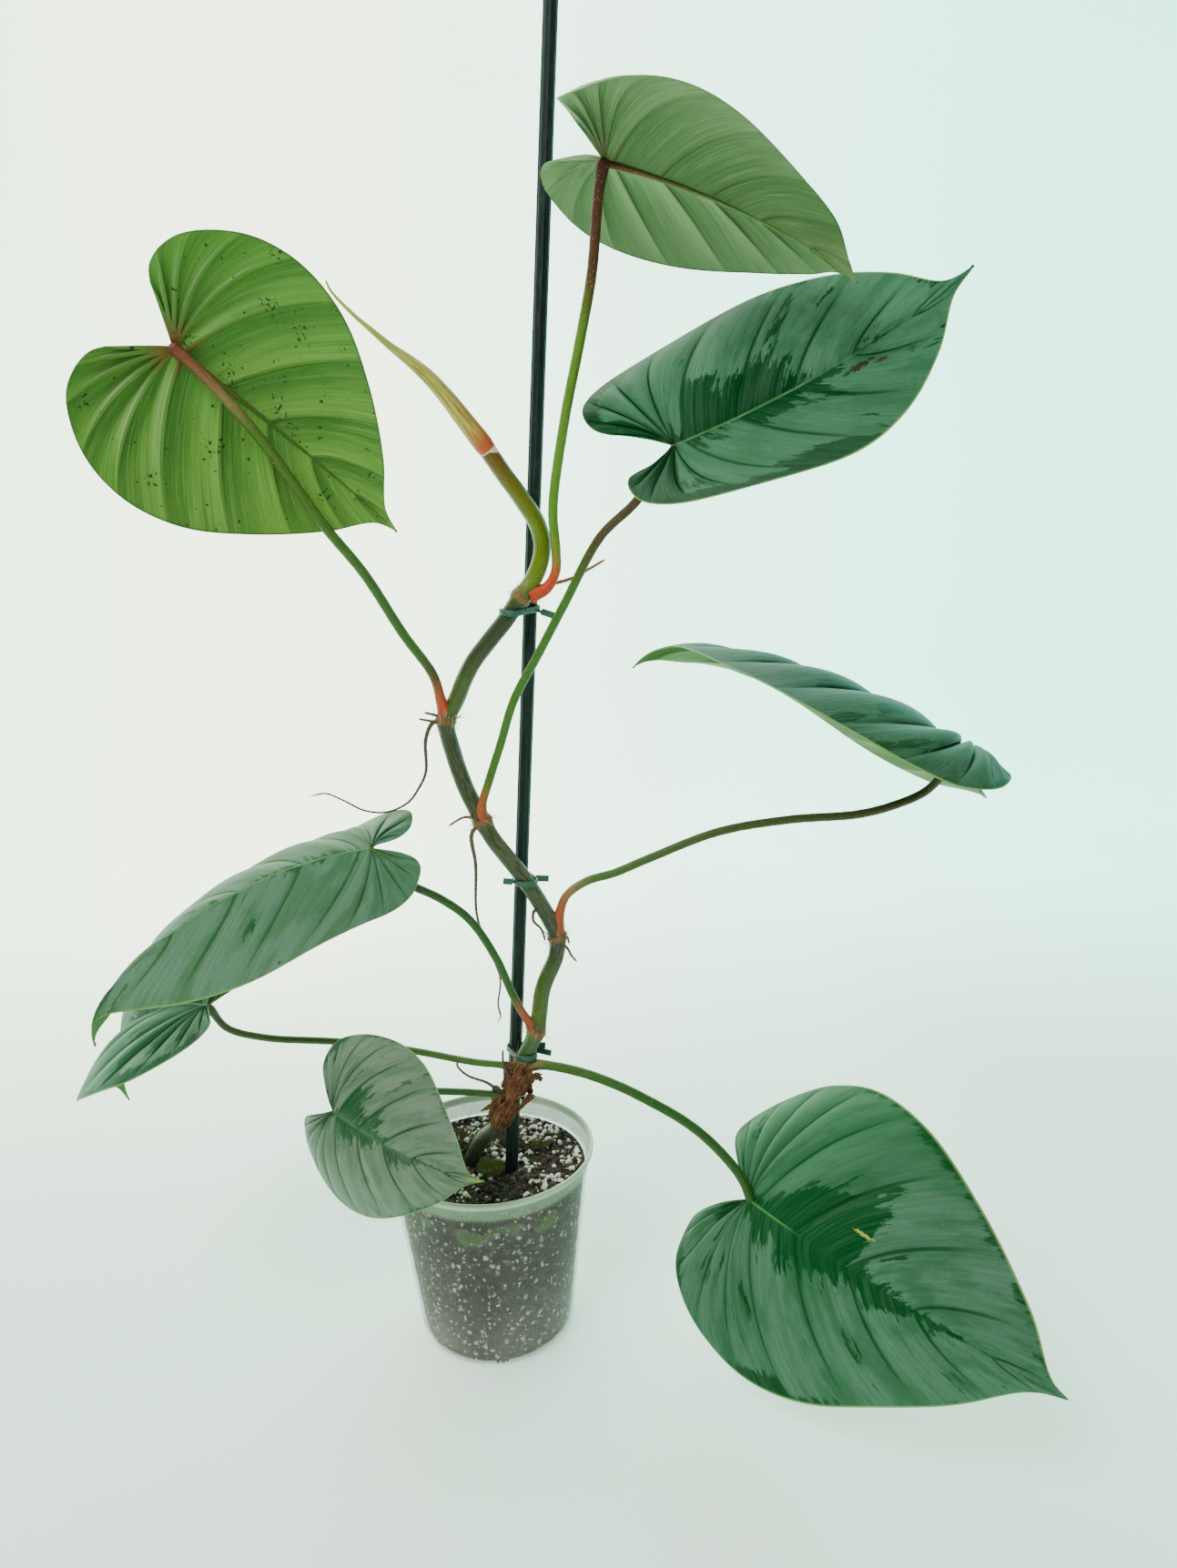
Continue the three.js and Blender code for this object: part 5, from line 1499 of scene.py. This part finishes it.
def stalk_skin(name, stops, pores=0.4, warts=0.0, rough=0.4):
    """Stalk and rib. stops are colours along them, pores their strength and warts how far they rise."""
    stalk = Finish(name, Specular_IOR_Level=0.22)
    along, skin = stalk.mark("along"), stalk.mark("skin", "Vector")
    streak = stalk.cloud(stalk.stretch(skin, (1, 1, 0.1)), 1.3, 4, 0.6)
    mottle = stalk.cloud(skin, 0.8, 3)
    colour = stalk.ramp(along / 2 + (mottle - 0.5) * 0.05, [(place / 2, c) for place, c in stops])
    colour = stalk.mix(stalk.step(streak, 0.5, 0.75) * 0.75, colour, STREAK_SHADE, "MULTIPLY")
    pore = 1 - stalk.step(stalk.grains(stalk.stretch(skin, (1, 1, 0.4)), 0.95), 0.12, 0.24)
    colour = stalk.mix(pore * pores, colour, PORE_TAN)
    stalk.set(Base_Color=colour, Roughness=rough + 0.15 * streak)
    stalk.bump(streak * 0.5 + pore * (0.4 + warts), 0.35 + 0.5 * warts)
    return stalk


print("the stalk's rules are ready")

# %% [markdown]
# ## Eight leaves, eight looks
# Old leaves are bluer and darker and young ones paler, and each has its own dark patches, specks and
# stalk. One shared look would make eight copies, so each has its own numbers. Zones, edges and painted
# shades give a half, 1 or -1, the first and last place along vein, and a strength. The stops of a stalk
# run from its base, 0, to its knuckle, 1, and the last ones colour the rib.

# %% Silver of the eight leaves
# painted shade is listed for each leaf: parts of a blade that catch too much light get darker silver
SILVERS = {
    "leaf_1": dict(silver=(0.16, 0.24, 0.12), dark=(0.03, 0.12, 0.03), middle=(0.08, 0.18, 0.06), reach=0.3,
        patches=0.4, rib=(0.2, 0.3, 0.08), rib_end=80, seed=3.1),
    "leaf_2": dict(silver=(0.064, 0.176, 0.1), dark=(0.001, 0.045, 0.01), middle=(0.022, 0.115, 0.045),
        reach=0.2, patches=0.55, rib=(0.09, 0.24, 0.09), rib_end=130, shine=0.04, seed=5.3,
        zones=[(1, 0.5, 0.72, 0.28), (-1, 0, 0.36, 1.1), (-1, 0.66, 0.8, 0.2), (1, 0, 0.2, 0.6)],
        edges=[(1, 0, 0.4, 0.22), (-1, 0, 0.62, 0.22)],
        painted_shades=[(-1, 0.3, 1, 0.35), (-1, 0, 0.3, 0.5), (1, 0, 0.5, 0.45)],
        scars=[(90, -9, 2.6, 2.5, (0.03, 0.012, 0.006)), (100, -12, 1.8, 2, (0.05, 0.022, 0.01)),
        (83, -10, 1.4, 1.5, (0.03, 0.02, 0.01)), (96, -8, 1.2, 1.5, (0.02, 0.012, 0.006))]),
    "leaf_3": dict(silver=(0.12, 0.24, 0.1), dark=(0.02, 0.12, 0.02), middle=(0.06, 0.18, 0.05), reach=0.4,
        patches=0.5, rib=(0.2, 0.3, 0.08), rib_end=90, seed=9.7),
    "leaf_4": dict(silver=(0.034, 0.094, 0.049), dark=(0.002, 0.045, 0.008), middle=(0.014, 0.08, 0.026),
        reach=0.45, patches=1.0, rib=(0.1, 0.22, 0.08), rib_end=120, tip=0.6, seed=1.9, gloss=0.42,
        shine=0.1),
    "leaf_5": dict(silver=(0.097, 0.18, 0.117), dark=(0.012, 0.085, 0.02), middle=(0.045, 0.13, 0.045),
        reach=0.1, patches=0.3, rib=(0.12, 0.26, 0.1), rib_end=150, tip=1.0, edge=(0.2, 0.36, 0.08),
        seed=6.4),
    "leaf_6": dict(silver=(0.09, 0.18, 0.11), dark=(0.003, 0.055, 0.012), middle=(0.018, 0.09, 0.03),
        reach=0.7, patches=1.0, rib=(0.14, 0.24, 0.14), rib_end=100, tip=0.5, shine=0.08, seed=2.6),
    "leaf_7": dict(silver=(0.105, 0.165, 0.107), dark=(0.004, 0.055, 0.012), middle=(0.04, 0.11, 0.045),
        reach=0.28, patches=0.5, rib=(0.03, 0.12, 0.03), rib_end=75, tip=0.9, gloss=0.38, shine=0.25,
        seed=8.2, zones=[(1, 0.05, 0.2, 0.25), (-1, 0.6, 0.75, 0.1), (1, 0.56, 0.66, 0.1)],
        edges=[(1, 0.1, 0.3, 0.15), (-1, 0.1, 0.5, 0.1)]),
    "leaf_8": dict(silver=(0.056, 0.136, 0.082), dark=(0.001, 0.048, 0.009), middle=(0.014, 0.09, 0.03),
        reach=0.16, patches=0.4, rib=(0.07, 0.21, 0.05), rib_end=48, gloss=0.45, shine=0.05, seed=4.8,
        zones=[(-1, 0.52, 0.82, 0.2), (1, 0.52, 0.58, 0.12), (1, 0.6, 0.7, 0.52), (-1, 0.1, 0.26, 0.25),
        (1, 0, 0.1, 0.4)],
        edges=[(1, 0.14, 0.36, 0.2), (-1, 0, 0.3, 0.2), (-1, 0.44, 0.6, 0.08)],
        painted_shades=[(1, 0, 0.62, 0.5), (-1, 0, 0.2, 0.3)],
        scars=[(75, 18, 1.1, 6, (0.4, 0.42, 0.06))]),
}
print(len(SILVERS), "upper sides")

# %% Green of the eight leaves
# bands and paler are painted shade and painted light, with a value for each half
GREENS = {
    "leaf_1": dict(light=(0.14, 0.235, 0.088), deep=(0.06, 0.13, 0.038), pale=(0.26, 0.42, 0.19), red=0.3,
        bands=(0.9, 0.35), cream=0.0, paler=(0.45, 0)),
    "leaf_2": dict(light=(0.1, 0.22, 0.09), deep=(0.06, 0.16, 0.06), pale=(0.2, 0.3, 0.13), red=0.5),
    "leaf_3": dict(light=(0.135, 0.3, 0.042), deep=(0.04, 0.125, 0.016), pale=(0.18, 0.34, 0.08), red=0.6,
        specks=0.95, bands=(0.55, 0.55), cream=0.5),
    "leaf_4": dict(light=(0.09, 0.2, 0.045), deep=(0.05, 0.13, 0.022), pale=(0.16, 0.28, 0.08), red=0.2),
    "leaf_5": dict(light=(0.1, 0.22, 0.08), deep=(0.06, 0.17, 0.05), pale=(0.2, 0.3, 0.12), red=0.2),
    "leaf_6": dict(light=(0.12, 0.24, 0.08), deep=(0.07, 0.18, 0.05), pale=(0.2, 0.32, 0.12), red=0.2),
    "leaf_7": dict(light=(0.14, 0.26, 0.1), deep=(0.08, 0.2, 0.06), pale=(0.22, 0.34, 0.14), red=0.2),
    "leaf_8": dict(light=(0.1, 0.22, 0.08), deep=(0.05, 0.15, 0.04), pale=(0.2, 0.3, 0.12), red=0.4),
}
print(sum("specks" in numbers for numbers in GREENS.values()), "leaf has specks below")

# %% Stalks of the eight leaves
RIB_GREEN, RIB_PALE = (0.1, 0.24, 0.05), (0.12, 0.22, 0.06)
STALKS = {
    "leaf_1": dict(stops=[(0, (0.5, 0.045, 0.015)), (0.085, (0.5, 0.05, 0.015)), (0.12, (0.2, 0.17, 0.02)),
        (0.2, (0.09, 0.2, 0.012)), (0.66, (0.09, 0.17, 0.014)), (0.78, (0.08, 0.03, 0.01)),
        (1, (0.07, 0.018, 0.008)), (1.1, (0.14, 0.06, 0.02)), (1.6, RIB_GREEN)], pores=0.5),
    "leaf_2": dict(stops=[(0, (0.42, 0.05, 0.02)), (0.07, (0.3, 0.07, 0.02)), (0.12, (0.05, 0.13, 0.012)),
        (0.62, (0.045, 0.12, 0.012)), (0.74, (0.07, 0.045, 0.012)), (1, (0.05, 0.018, 0.01)),
        (1.3, (0.1, 0.12, 0.04)), (1.7, RIB_GREEN)], pores=0.35),
    "leaf_3": dict(stops=[(0, (0.5, 0.05, 0.02)), (0.05, (0.5, 0.06, 0.02)), (0.09, (0.25, 0.08, 0.02)),
        (0.12, (0.07, 0.06, 0.02)), (0.2, (0.05, 0.11, 0.014)), (0.5, (0.045, 0.11, 0.012)),
        (0.79, (0.06, 0.12, 0.012)), (0.87, (0.2, 0.14, 0.045)), (0.95, (0.17, 0.065, 0.03)),
        (1, (0.13, 0.035, 0.018)), (1.1, (0.12, 0.05, 0.02)), (1.25, (0.06, 0.1, 0.015)),
        (1.9, (0.04, 0.11, 0.015))], pores=0.7, warts=1.0),
    "leaf_4": dict(stops=[(0, (0.36, 0.06, 0.02)), (0.07, (0.32, 0.07, 0.025)), (0.11, (0.2, 0.15, 0.05)),
        (0.16, (0.05, 0.11, 0.02)), (0.5, (0.04, 0.06, 0.012)), (0.85, (0.045, 0.035, 0.01)),
        (1, (0.06, 0.06, 0.02)), (1.4, RIB_PALE), (1.8, RIB_GREEN)], pores=0.3),
    "leaf_5": dict(stops=[(0, (0.36, 0.07, 0.025)), (0.11, (0.28, 0.08, 0.03)), (0.17, (0.04, 0.1, 0.015)),
        (0.6, (0.025, 0.075, 0.014)), (0.85, (0.04, 0.06, 0.026)), (1, (0.06, 0.03, 0.02)),
        (1.5, RIB_PALE), (1.9, RIB_GREEN)], pores=0.25),
    "leaf_6": dict(stops=[(0, (0.22, 0.14, 0.05)), (0.08, (0.06, 0.12, 0.02)), (0.5, (0.05, 0.11, 0.02)),
        (1, (0.05, 0.06, 0.02)), (1.5, RIB_PALE), (1.9, RIB_GREEN)], pores=0.25),
    "leaf_7": dict(stops=[(0, (0.14, 0.08, 0.04)), (0.1, (0.05, 0.09, 0.02)), (0.5, (0.03, 0.09, 0.015)),
        (1, (0.04, 0.12, 0.02)), (1.5, RIB_PALE), (1.9, RIB_GREEN)], pores=0.2),
    "leaf_8": dict(stops=[(0, (0.3, 0.16, 0.06)), (0.08, (0.05, 0.1, 0.015)), (0.5, (0.017, 0.076, 0.007)),
        (1, (0.03, 0.09, 0.012)), (1.5, (0.1, 0.2, 0.05)), (1.9, RIB_GREEN)], pores=0.3),
}
print(len(STALKS), "stalks")

# %% Grow the leaves
# One mesh and three finishes a leaf: upper side and edge, underside, and stalk with knuckle and rib
for number, (node, numbers) in enumerate(LEAVES.items()):
    leaf_shape = Shape()
    add_blade(leaf_shape, numbers)
    add_stalk(leaf_shape, numbers)
    make(leaf_shape, f"{node}_grown", [
        silver_side(f"{node}_upper", **SILVERS[node]),
        green_side(f"{node}_under", seed=number * 2.3, **GREENS[node]),
        stalk_skin(f"{node}_stalk", **STALKS[node]),
    ], [node], crease=58)

# %% [markdown]
# ## The young leaf in its sheath
# At the growing tip the next leaf is still rolled in a long pointed sheath that ends in a dry hair. A
# rolled sheet would hide most of its faces, so a rod with fine ridges makes the form, with a seam
# where the sheath's edge overlaps itself.

# %% The spear's form
SPEAR = [               # place and radius
    ((18.6, -7.0, 500.7), 4.5), ((15.5, -8, 505), 5), ((8, -9, 515), 4.6), ((-1, -10, 527), 4),
    ((-9, -11, 536), 3.5), ((-17, -12, 543), 2.7), ((-25, -13, 549), 1.9), ((-33, -14, 556), 1.4),
    ((-41, -15, 563), 1), ((-51, -16, 574), 0.6), ((-53, -16, 579), 0.4)]
spear_line = smooth_line([place for place, _ in SPEAR])
spear_radii = smooth_line([(i, radius, 0) for i, (_, radius) in enumerate(SPEAR)])[:, 1]
spear_run = run_of(spear_line)


def spear_radius(share, angle, run):
    """The measured radius with fine ridges, a keel, the seam and a closed end."""
    plain = np.interp(run, spear_run, spear_radii)
    ridges = 0.02 * np.cos(11 * angle) + 0.05 * np.cos(angle - 2.2) ** 3
    seam = -0.09 * np.exp(-(((angle - 3.6 - 1.2 * share) / 0.12) ** 2)) * (share < 0.75)
    ending = 1 - 0.85 * np.clip((share - 0.985) * 60, 0, 1)
    return plain * (0.97 + ridges + seam) * ending


spear_shape = Shape()
add_rod(spear_shape, evenly(spear_line, 150), spear_radius, sides=40)
print(f"the spear is {spear_run[-1]:.0f} mm long")

# %% [markdown]
# ## The spear's skin
# The sheath is red-orange where it leaves the stem, then yellow-green, with a dry tip. A ramp along it
# gives that order, and one noise drawn out along it gives cream streaks where it is high and red ones
# where it is low.

# %% The spear's skin
spear = Finish("spear_skin", Specular_IOR_Level=0.4)
spear_along, spear_side = spear.mark("along"), spear.mark("skin", "Vector")
spear_streaks = spear.cloud(spear.stretch(spear_side, (1, 1, 0.03)), 0.75, 4, 0.7)
spear_colour = spear.ramp(spear_along + (spear_streaks - 0.5) * 0.1, [
    (0, (0.5, 0.05, 0.015)), (0.05, (0.42, 0.08, 0.015)), (0.14, (0.3, 0.2, 0.03)),
    (0.45, (0.26, 0.27, 0.035)), (0.75, (0.28, 0.33, 0.06)), (0.93, (0.3, 0.24, 0.06)),
    (0.98, (0.1, 0.04, 0.02))])
cream_lines = spear.step(spear_streaks, 0.48, 0.56) * spear.step(spear_along, 0.04, 0.14)
spear_colour = spear.mix(cream_lines * 0.7, spear_colour, (0.5, 0.44, 0.1))
red_lines = (1 - spear.step(spear_streaks, 0.4, 0.46)) * (1 - spear.step(spear_along, 0.4, 0.62))
spear_colour = spear.mix(red_lines * 0.9, spear_colour, (0.3, 0.03, 0.01))
spear.set(
    Base_Color=spear.mix(1 - spear.step(spear_along, 0.006, 0.01), spear_colour, (0.6, 0.5, 0.3)),
    Roughness=0.4 + 0.15 * spear_streaks)
spear.bump(spear_streaks, 0.5)
make(spear_shape, "young_leaf_spear", [spear], ["new_leaf_spear"])

# %% [markdown]
# ## Ribbons
# Loose strips of dry paper and the ties are flat strips that follow a line and twist. The twist of a
# bevelled curve is hard to steer, so one helper sets a small rounded rectangle across the line at every
# point, with its width turned as asked.

# %% A ribbon along a line
RIBBON_SECTION = [(-0.5, -0.3), (-0.42, -0.5), (0.42, -0.5), (0.5, -0.3), (0.5, 0.3), (0.42, 0.5),
                  (-0.42, 0.5), (-0.5, 0.3)]


def add_ribbon(shape, path, width_way, width, thickness, closed=False):
    """A flat strip along the path. width_way points along its width at each point of the path."""
    before = np.roll(path, 1, axis=0) if closed else np.vstack([path[:1], path[:-1]])
    after = np.roll(path, -1, axis=0) if closed else np.vstack([path[1:], path[-1:]])
    ahead = unit(after - before)
    width_way = unit(width_way - ahead * np.sum(width_way * ahead, axis=1, keepdims=True))
    out_way = np.cross(ahead, width_way)
    rings = np.stack([
        path + width_way * w * width + out_way * t * thickness for w, t in RIBBON_SECTION], axis=1)
    count, sides = len(path), len(RIBBON_SECTION)
    faces = grid_faces(count, sides, closed=True)
    if closed:
        last = (count - 1) * sides
        faces += [(last + i, last + (i + 1) % sides, (i + 1) % sides, i) for i in range(sides)]
    else:
        faces += [tuple(range(sides))[::-1], tuple((count - 1) * sides + i for i in range(sides))]
    run = run_of(path)
    skin = np.stack([np.tile([w * 3 for w, _ in RIBBON_SECTION], count),
                     np.tile([t for _, t in RIBBON_SECTION], count), np.repeat(run, sides)], axis=-1)
    shape.add(rings.reshape(-1, 3), faces, skin=skin)


print("a ribbon's section has", len(RIBBON_SECTION), "corners")

# %% [markdown]
# ## Dry sheaths
# Two old sheaths have dried to wrinkled brown paper round the lower nodes, with torn edges and lifted
# flaps. Simulated cloth is hard to repeat, so each is a thin sheet on part of a circle round the stem,
# with a wrinkled radius, edges torn by waves of three sizes and sides that lift towards the top.

# %% The sheet of a sheath
SHEATH_ROWS, SHEATH_COLUMNS = 46, 90
SHEATH_GAP = 1.3                # between the stem's swollen node and the sheet
SHEATH_THICKNESS = 0.45


def sheath_grid(first, last, start, sweep, flare, taper, seed):
    """The points of the sheet round the stem, row by row from its lower edge."""
    share = np.linspace(0, 1, SHEATH_ROWS)
    column = np.linspace(-1, 1, SHEATH_COLUMNS)
    waves = np.sin(9 * column + seed) + 0.6 * np.sin(23 * column + 2 * seed) + 0.3 * np.sin(51 * column)
    torn = np.clip(0.93 - 0.16 * waves + 0.2 * (np.abs(column) > 0.7), 0.6, 1.12)
    rows = share[:, None] * torn[None, :]
    step = (first + (last - first) * rows) / (len(STEM) - 1) * (len(stem_line) - 1)
    index = np.arange(len(stem_line))
    centre = np.stack([np.interp(step, index, stem_line[:, i]) for i in range(3)], axis=-1)
    axis = unit(np.stack([np.interp(step, index, np.gradient(stem_line[:, i])) for i in range(3)], axis=-1))
    front = unit(np.array([0, -1, 0]) + axis * axis[..., 1:2])
    right_hand = unit(np.cross(axis, front))
    half = sweep / 2 * (1 - taper * rows)
    angle = np.radians(start + sweep / 2 + half * column[None, :])
    wrinkle = 0.34 * np.sin(17 * angle + 3 * rows + seed) + 0.2 * np.sin(41 * angle + 5 * np.sin(9 * rows))
    lifted = 4.5 * np.clip((np.abs(column) - 0.55) / 0.45, 0, 1)[None, :] ** 1.5 * rows ** 2
    radius = STEM_RADIUS + NODE_SWELL + SHEATH_GAP + flare * rows ** 2 + wrinkle + lifted
    outward = np.cos(angle)[..., None] * right_hand + np.sin(angle)[..., None] * front
    return centre + radius[..., None] * outward


def sheath_border():
    """The pairs of points round the edge of the sheet, in order."""
    count = SHEATH_ROWS * SHEATH_COLUMNS
    top = [(c, c + 1) for c in range(SHEATH_COLUMNS - 1)]
    right_side = [((r + 1) * SHEATH_COLUMNS - 1, (r + 2) * SHEATH_COLUMNS - 1)
                  for r in range(SHEATH_ROWS - 1)]
    bottom = [(count - 1 - c, count - 2 - c) for c in range(SHEATH_COLUMNS - 1)]
    left_side = [((r + 1) * SHEATH_COLUMNS, r * SHEATH_COLUMNS) for r in range(SHEATH_ROWS - 1)]
    return top + right_side + bottom + left_side


print("a sheet of", SHEATH_ROWS, "by", SHEATH_COLUMNS, "points has", len(sheath_border()), "edges round it")

# %% [markdown]
# ## Dry paper
# The paper goes from nearly black to tan. Noise drawn out upward gives its fine lines, and slower
# noise its darker patches.

# %% The dry paper
dry = Finish("dry_paper", Specular_IOR_Level=0.25)
dry_place = dry.stretch(dry.place(), (1000, 1000, 1000))
dry_grain = dry.cloud(dry.stretch(dry_place, (1, 1, 0.22)), 0.8, 4, 0.7)
dry_patches = dry.cloud(dry_place, 0.22, 3)
dry_colour = dry.ramp(dry_grain * 0.6 + dry_patches * 0.4, [
    (0.34, (0.03, 0.01, 0.004)), (0.48, (0.1, 0.032, 0.012)), (0.6, (0.21, 0.08, 0.03)),
    (0.75, (0.4, 0.22, 0.1))])
dry.set(Base_Color=dry_colour, Roughness=0.66 + 0.2 * dry_grain)
dry.bump(dry_grain, 0.8)
print("the dry paper has", len(dry.tree.nodes), "nodes")

# %% [markdown]
# ## Loose strips
# Over the lower node the paper has torn into six strips that curl in front of the stem. Each is a
# ribbon on its own line, and a seeded draw gives it a ruffle, a swing and notches of its own.

# %% Loose strips of paper
STRIP_THICKNESS, STRIP_POINTS = 0.5, 70
STRIP_MIDDLE = (16.5, 2, 0)             # the strips bulge away from this upright line
STRIPS = [
    ([(14, -16, 147.5), (10, -18, 151.2), (3.6, -20, 151.8), (-3.4, -21.5, 150)], [3, 7, 6, 0.6]),
    ([(18, -17, 155), (23, -20, 163), (26.2, -21, 167), (29.4, -20, 166.2), (30.7, -19, 163.5)],
     [2, 5, 6, 5, 2]),
    ([(10.5, -15, 175), (12.7, -18.5, 169.6), (15.5, -19, 163.8), (19, -18, 156), (20, -17, 152)],
     [4, 5, 5, 4, 2]),
    ([(28, -15, 172.5), (23.4, -18.5, 171.5), (18.8, -20, 166.9), (16.6, -19.5, 159.6), (15, -17.5, 149)],
     [5, 6, 5, 5, 3]),
    ([(14, -16, 174), (16.5, -19.5, 170), (21.6, -20, 165), (24, -18.5, 158), (22, -16, 151)],
     [3, 5, 6, 4, 1]),
    ([(19, -17, 174), (17, -20, 168), (12, -18, 161), (9, -15, 153), (10, -14, 147)], [4, 4, 5, 5, 3])]


def add_strips(shape, dice):
    """Loose strips of paper in front of the stem, each with its own ruffle."""
    for route, widths in STRIPS:
        path = evenly(smooth_line(route, 12), STRIP_POINTS)
        share = np.linspace(0, 1, len(path))
        outward = unit(path - STRIP_MIDDLE - path * (0, 0, 1))
        swing = 0.5 * np.sin(2 * np.pi * (share * dice.uniform(1, 2) + dice.random()))[:, None]
        way = unit(np.cross(unit(np.gradient(path, axis=0)), outward)) + outward * swing
        ruffle = 0.5 * np.sin(2 * np.pi * (share * dice.uniform(3, 6) + dice.random()))
        path = path + outward * ruffle[:, None]
        notch = 1 - 0.3 * np.abs(np.sin(2 * np.pi * share * dice.uniform(2, 5) + dice.random()))
        width = np.interp(share, np.linspace(0, 1, len(widths)), widths) * notch
        add_ribbon(shape, path, way, width[:, None], STRIP_THICKNESS)


print(len(STRIPS), "loose strips are drawn")

# %% Make the two sheaths
# First and last of the stem's points, start and sweep in degrees, flare in mm, narrowing and a seed
SHEATHS = {
    "dry_sheath_lower": (4.6, 6.05, -35, 250, 1.2, 0.3, 5),
    "dry_sheath_middle": (6.15, 6.95, -10, 200, 2.4, 0.45, 9)}

for name, numbers in SHEATHS.items():
    sheet = sheath_grid(*numbers).reshape(-1, 3)
    sheath_shape = Shape()
    add_skins(sheath_shape, sheet, grid_faces(SHEATH_ROWS, SHEATH_COLUMNS),
              np.full(len(sheet), SHEATH_THICKNESS), sheath_border())
    if name == "dry_sheath_lower":
        add_strips(sheath_shape, np.random.default_rng(41))
    make(sheath_shape, f"{name}_paper", [dry, dry], [name])

# %% [markdown]
# ## The ties
# Three flat dark green ribbon ties hold the stem to the stake, with their ends twisted and left free. A
# simulation would pull the bands into the stem, so each is two half circles on the measured places of
# stem and stake, joined by straight runs.

# %% The bands
TIE_WIDTH, TIE_THICKNESS = 3.0, 1.0
TAIL_THICKNESS, TAIL_POINTS = 0.8, 40
TIES = [                # name, height, and the lines of the free ends
    ("tie_upper", 422, [[(35, -6, 423), (42, -8, 421), (50, -9, 418)]]),
    ("tie_middle", 279, [[(22, -17, 280), (15, -17, 281)], [(30, -6, 278), (40, -6, 277)]]),
    ("tie_lower", 179.5, [[(24, -9, 179.5), (37, -13, 177)], [(24, -9, 181.5), (34, -12, 181.5)]])]


def band_path(height):
    """The middle of the band round stem and stake, a little raised and sunk on its way."""
    stem_at = stem_line[np.argmax(stem_line[:, 2] > height)]
    stake_at = STAKE_ENTRY + STAKE_AXIS * (height - STAKE_ENTRY[2]) / STAKE_AXIS[2]
    heading = math.atan2(stake_at[1] - stem_at[1], stake_at[0] - stem_at[0])
    path = []
    for centre, radius, turn in ((stake_at, STAKE_RADIUS + 0.5, 0), (stem_at, STEM_RADIUS + 1, math.pi)):
        for i in range(25):
            angle = heading + turn + math.pi * (i / 24 - 0.5)
            reach = radius + TIE_THICKNESS / 2
            path.append((centre[0] + reach * math.cos(angle), centre[1] + reach * math.sin(angle), height))
    path = np.array(path)
    sway = np.linspace(0, 2 * np.pi, len(path), endpoint=False)
    path[:, 2] += 0.35 * np.sin(2 * sway)
    return path


print("a band is", round(float(run_of(band_path(279))[-1])), "mm long")

# %% The free ends
def add_tail(shape, route, number):
    """A free end: tightly twisted where it leaves the band, then flat and wider."""
    if len(route) > 2:
        middle = tuple(np.array(route[0]) * 0.5 + np.array(route[1]) * 0.5)
        route = [middle] + route[1:]
    path = evenly(smooth_line(route, 12), TAIL_POINTS)
    share = np.linspace(0, 1, len(path))
    twist = np.radians(360 * np.clip(1 - share / 0.3, 0, 1) + 12 * number)
    way = np.cross(unit(np.gradient(path, axis=0)), (0, 1, 0)) * np.cos(twist)[:, None]
    way = way + np.array([(0, 1, 0)]) * np.sin(twist)[:, None]
    width = np.interp(share, [0, 0.15, 0.3, 1], [1.4, 1.8, 3.4, 3.4])
    add_ribbon(shape, path, way, width[:, None], TAIL_THICKNESS)


print("the ties have", sum(len(tails) for _, _, tails in TIES), "free ends")

# %% [markdown]
# ## The ribbon's finish
# The ribbon is soft plastic with a slight sheen. One noise drawn out along it shades green and gloss.

# %% Make the ties
ribbon = Finish("tie_ribbon", Specular_IOR_Level=0.45)
ribbon_grain = ribbon.cloud(ribbon.stretch(ribbon.mark("skin", "Vector"), (3, 3, 0.3)), 1.2, 3)
ribbon.set(
    Base_Color=ribbon.mix(ribbon_grain, (0.008, 0.05, 0.03), (0.03, 0.12, 0.07)),
    Roughness=0.4 + 0.2 * ribbon_grain)
ribbon.bump(ribbon_grain, 0.3)
for name, height, tails in TIES:
    tie_shape = Shape()
    band = band_path(height)
    upright = np.tile((0.0, 0.0, 1.0), (len(band), 1))
    add_ribbon(tie_shape, band, upright, TIE_WIDTH, TIE_THICKNESS, closed=True)
    for number, route in enumerate(tails):
        add_tail(tie_shape, route, number)
    make(tie_shape, f"{name}_ribbon", [ribbon], [name])

# %% [markdown]
# ## Finish
# The last line brings the scene up to date.

# %% Bring the scene up to date
bpy.context.view_layer.update()
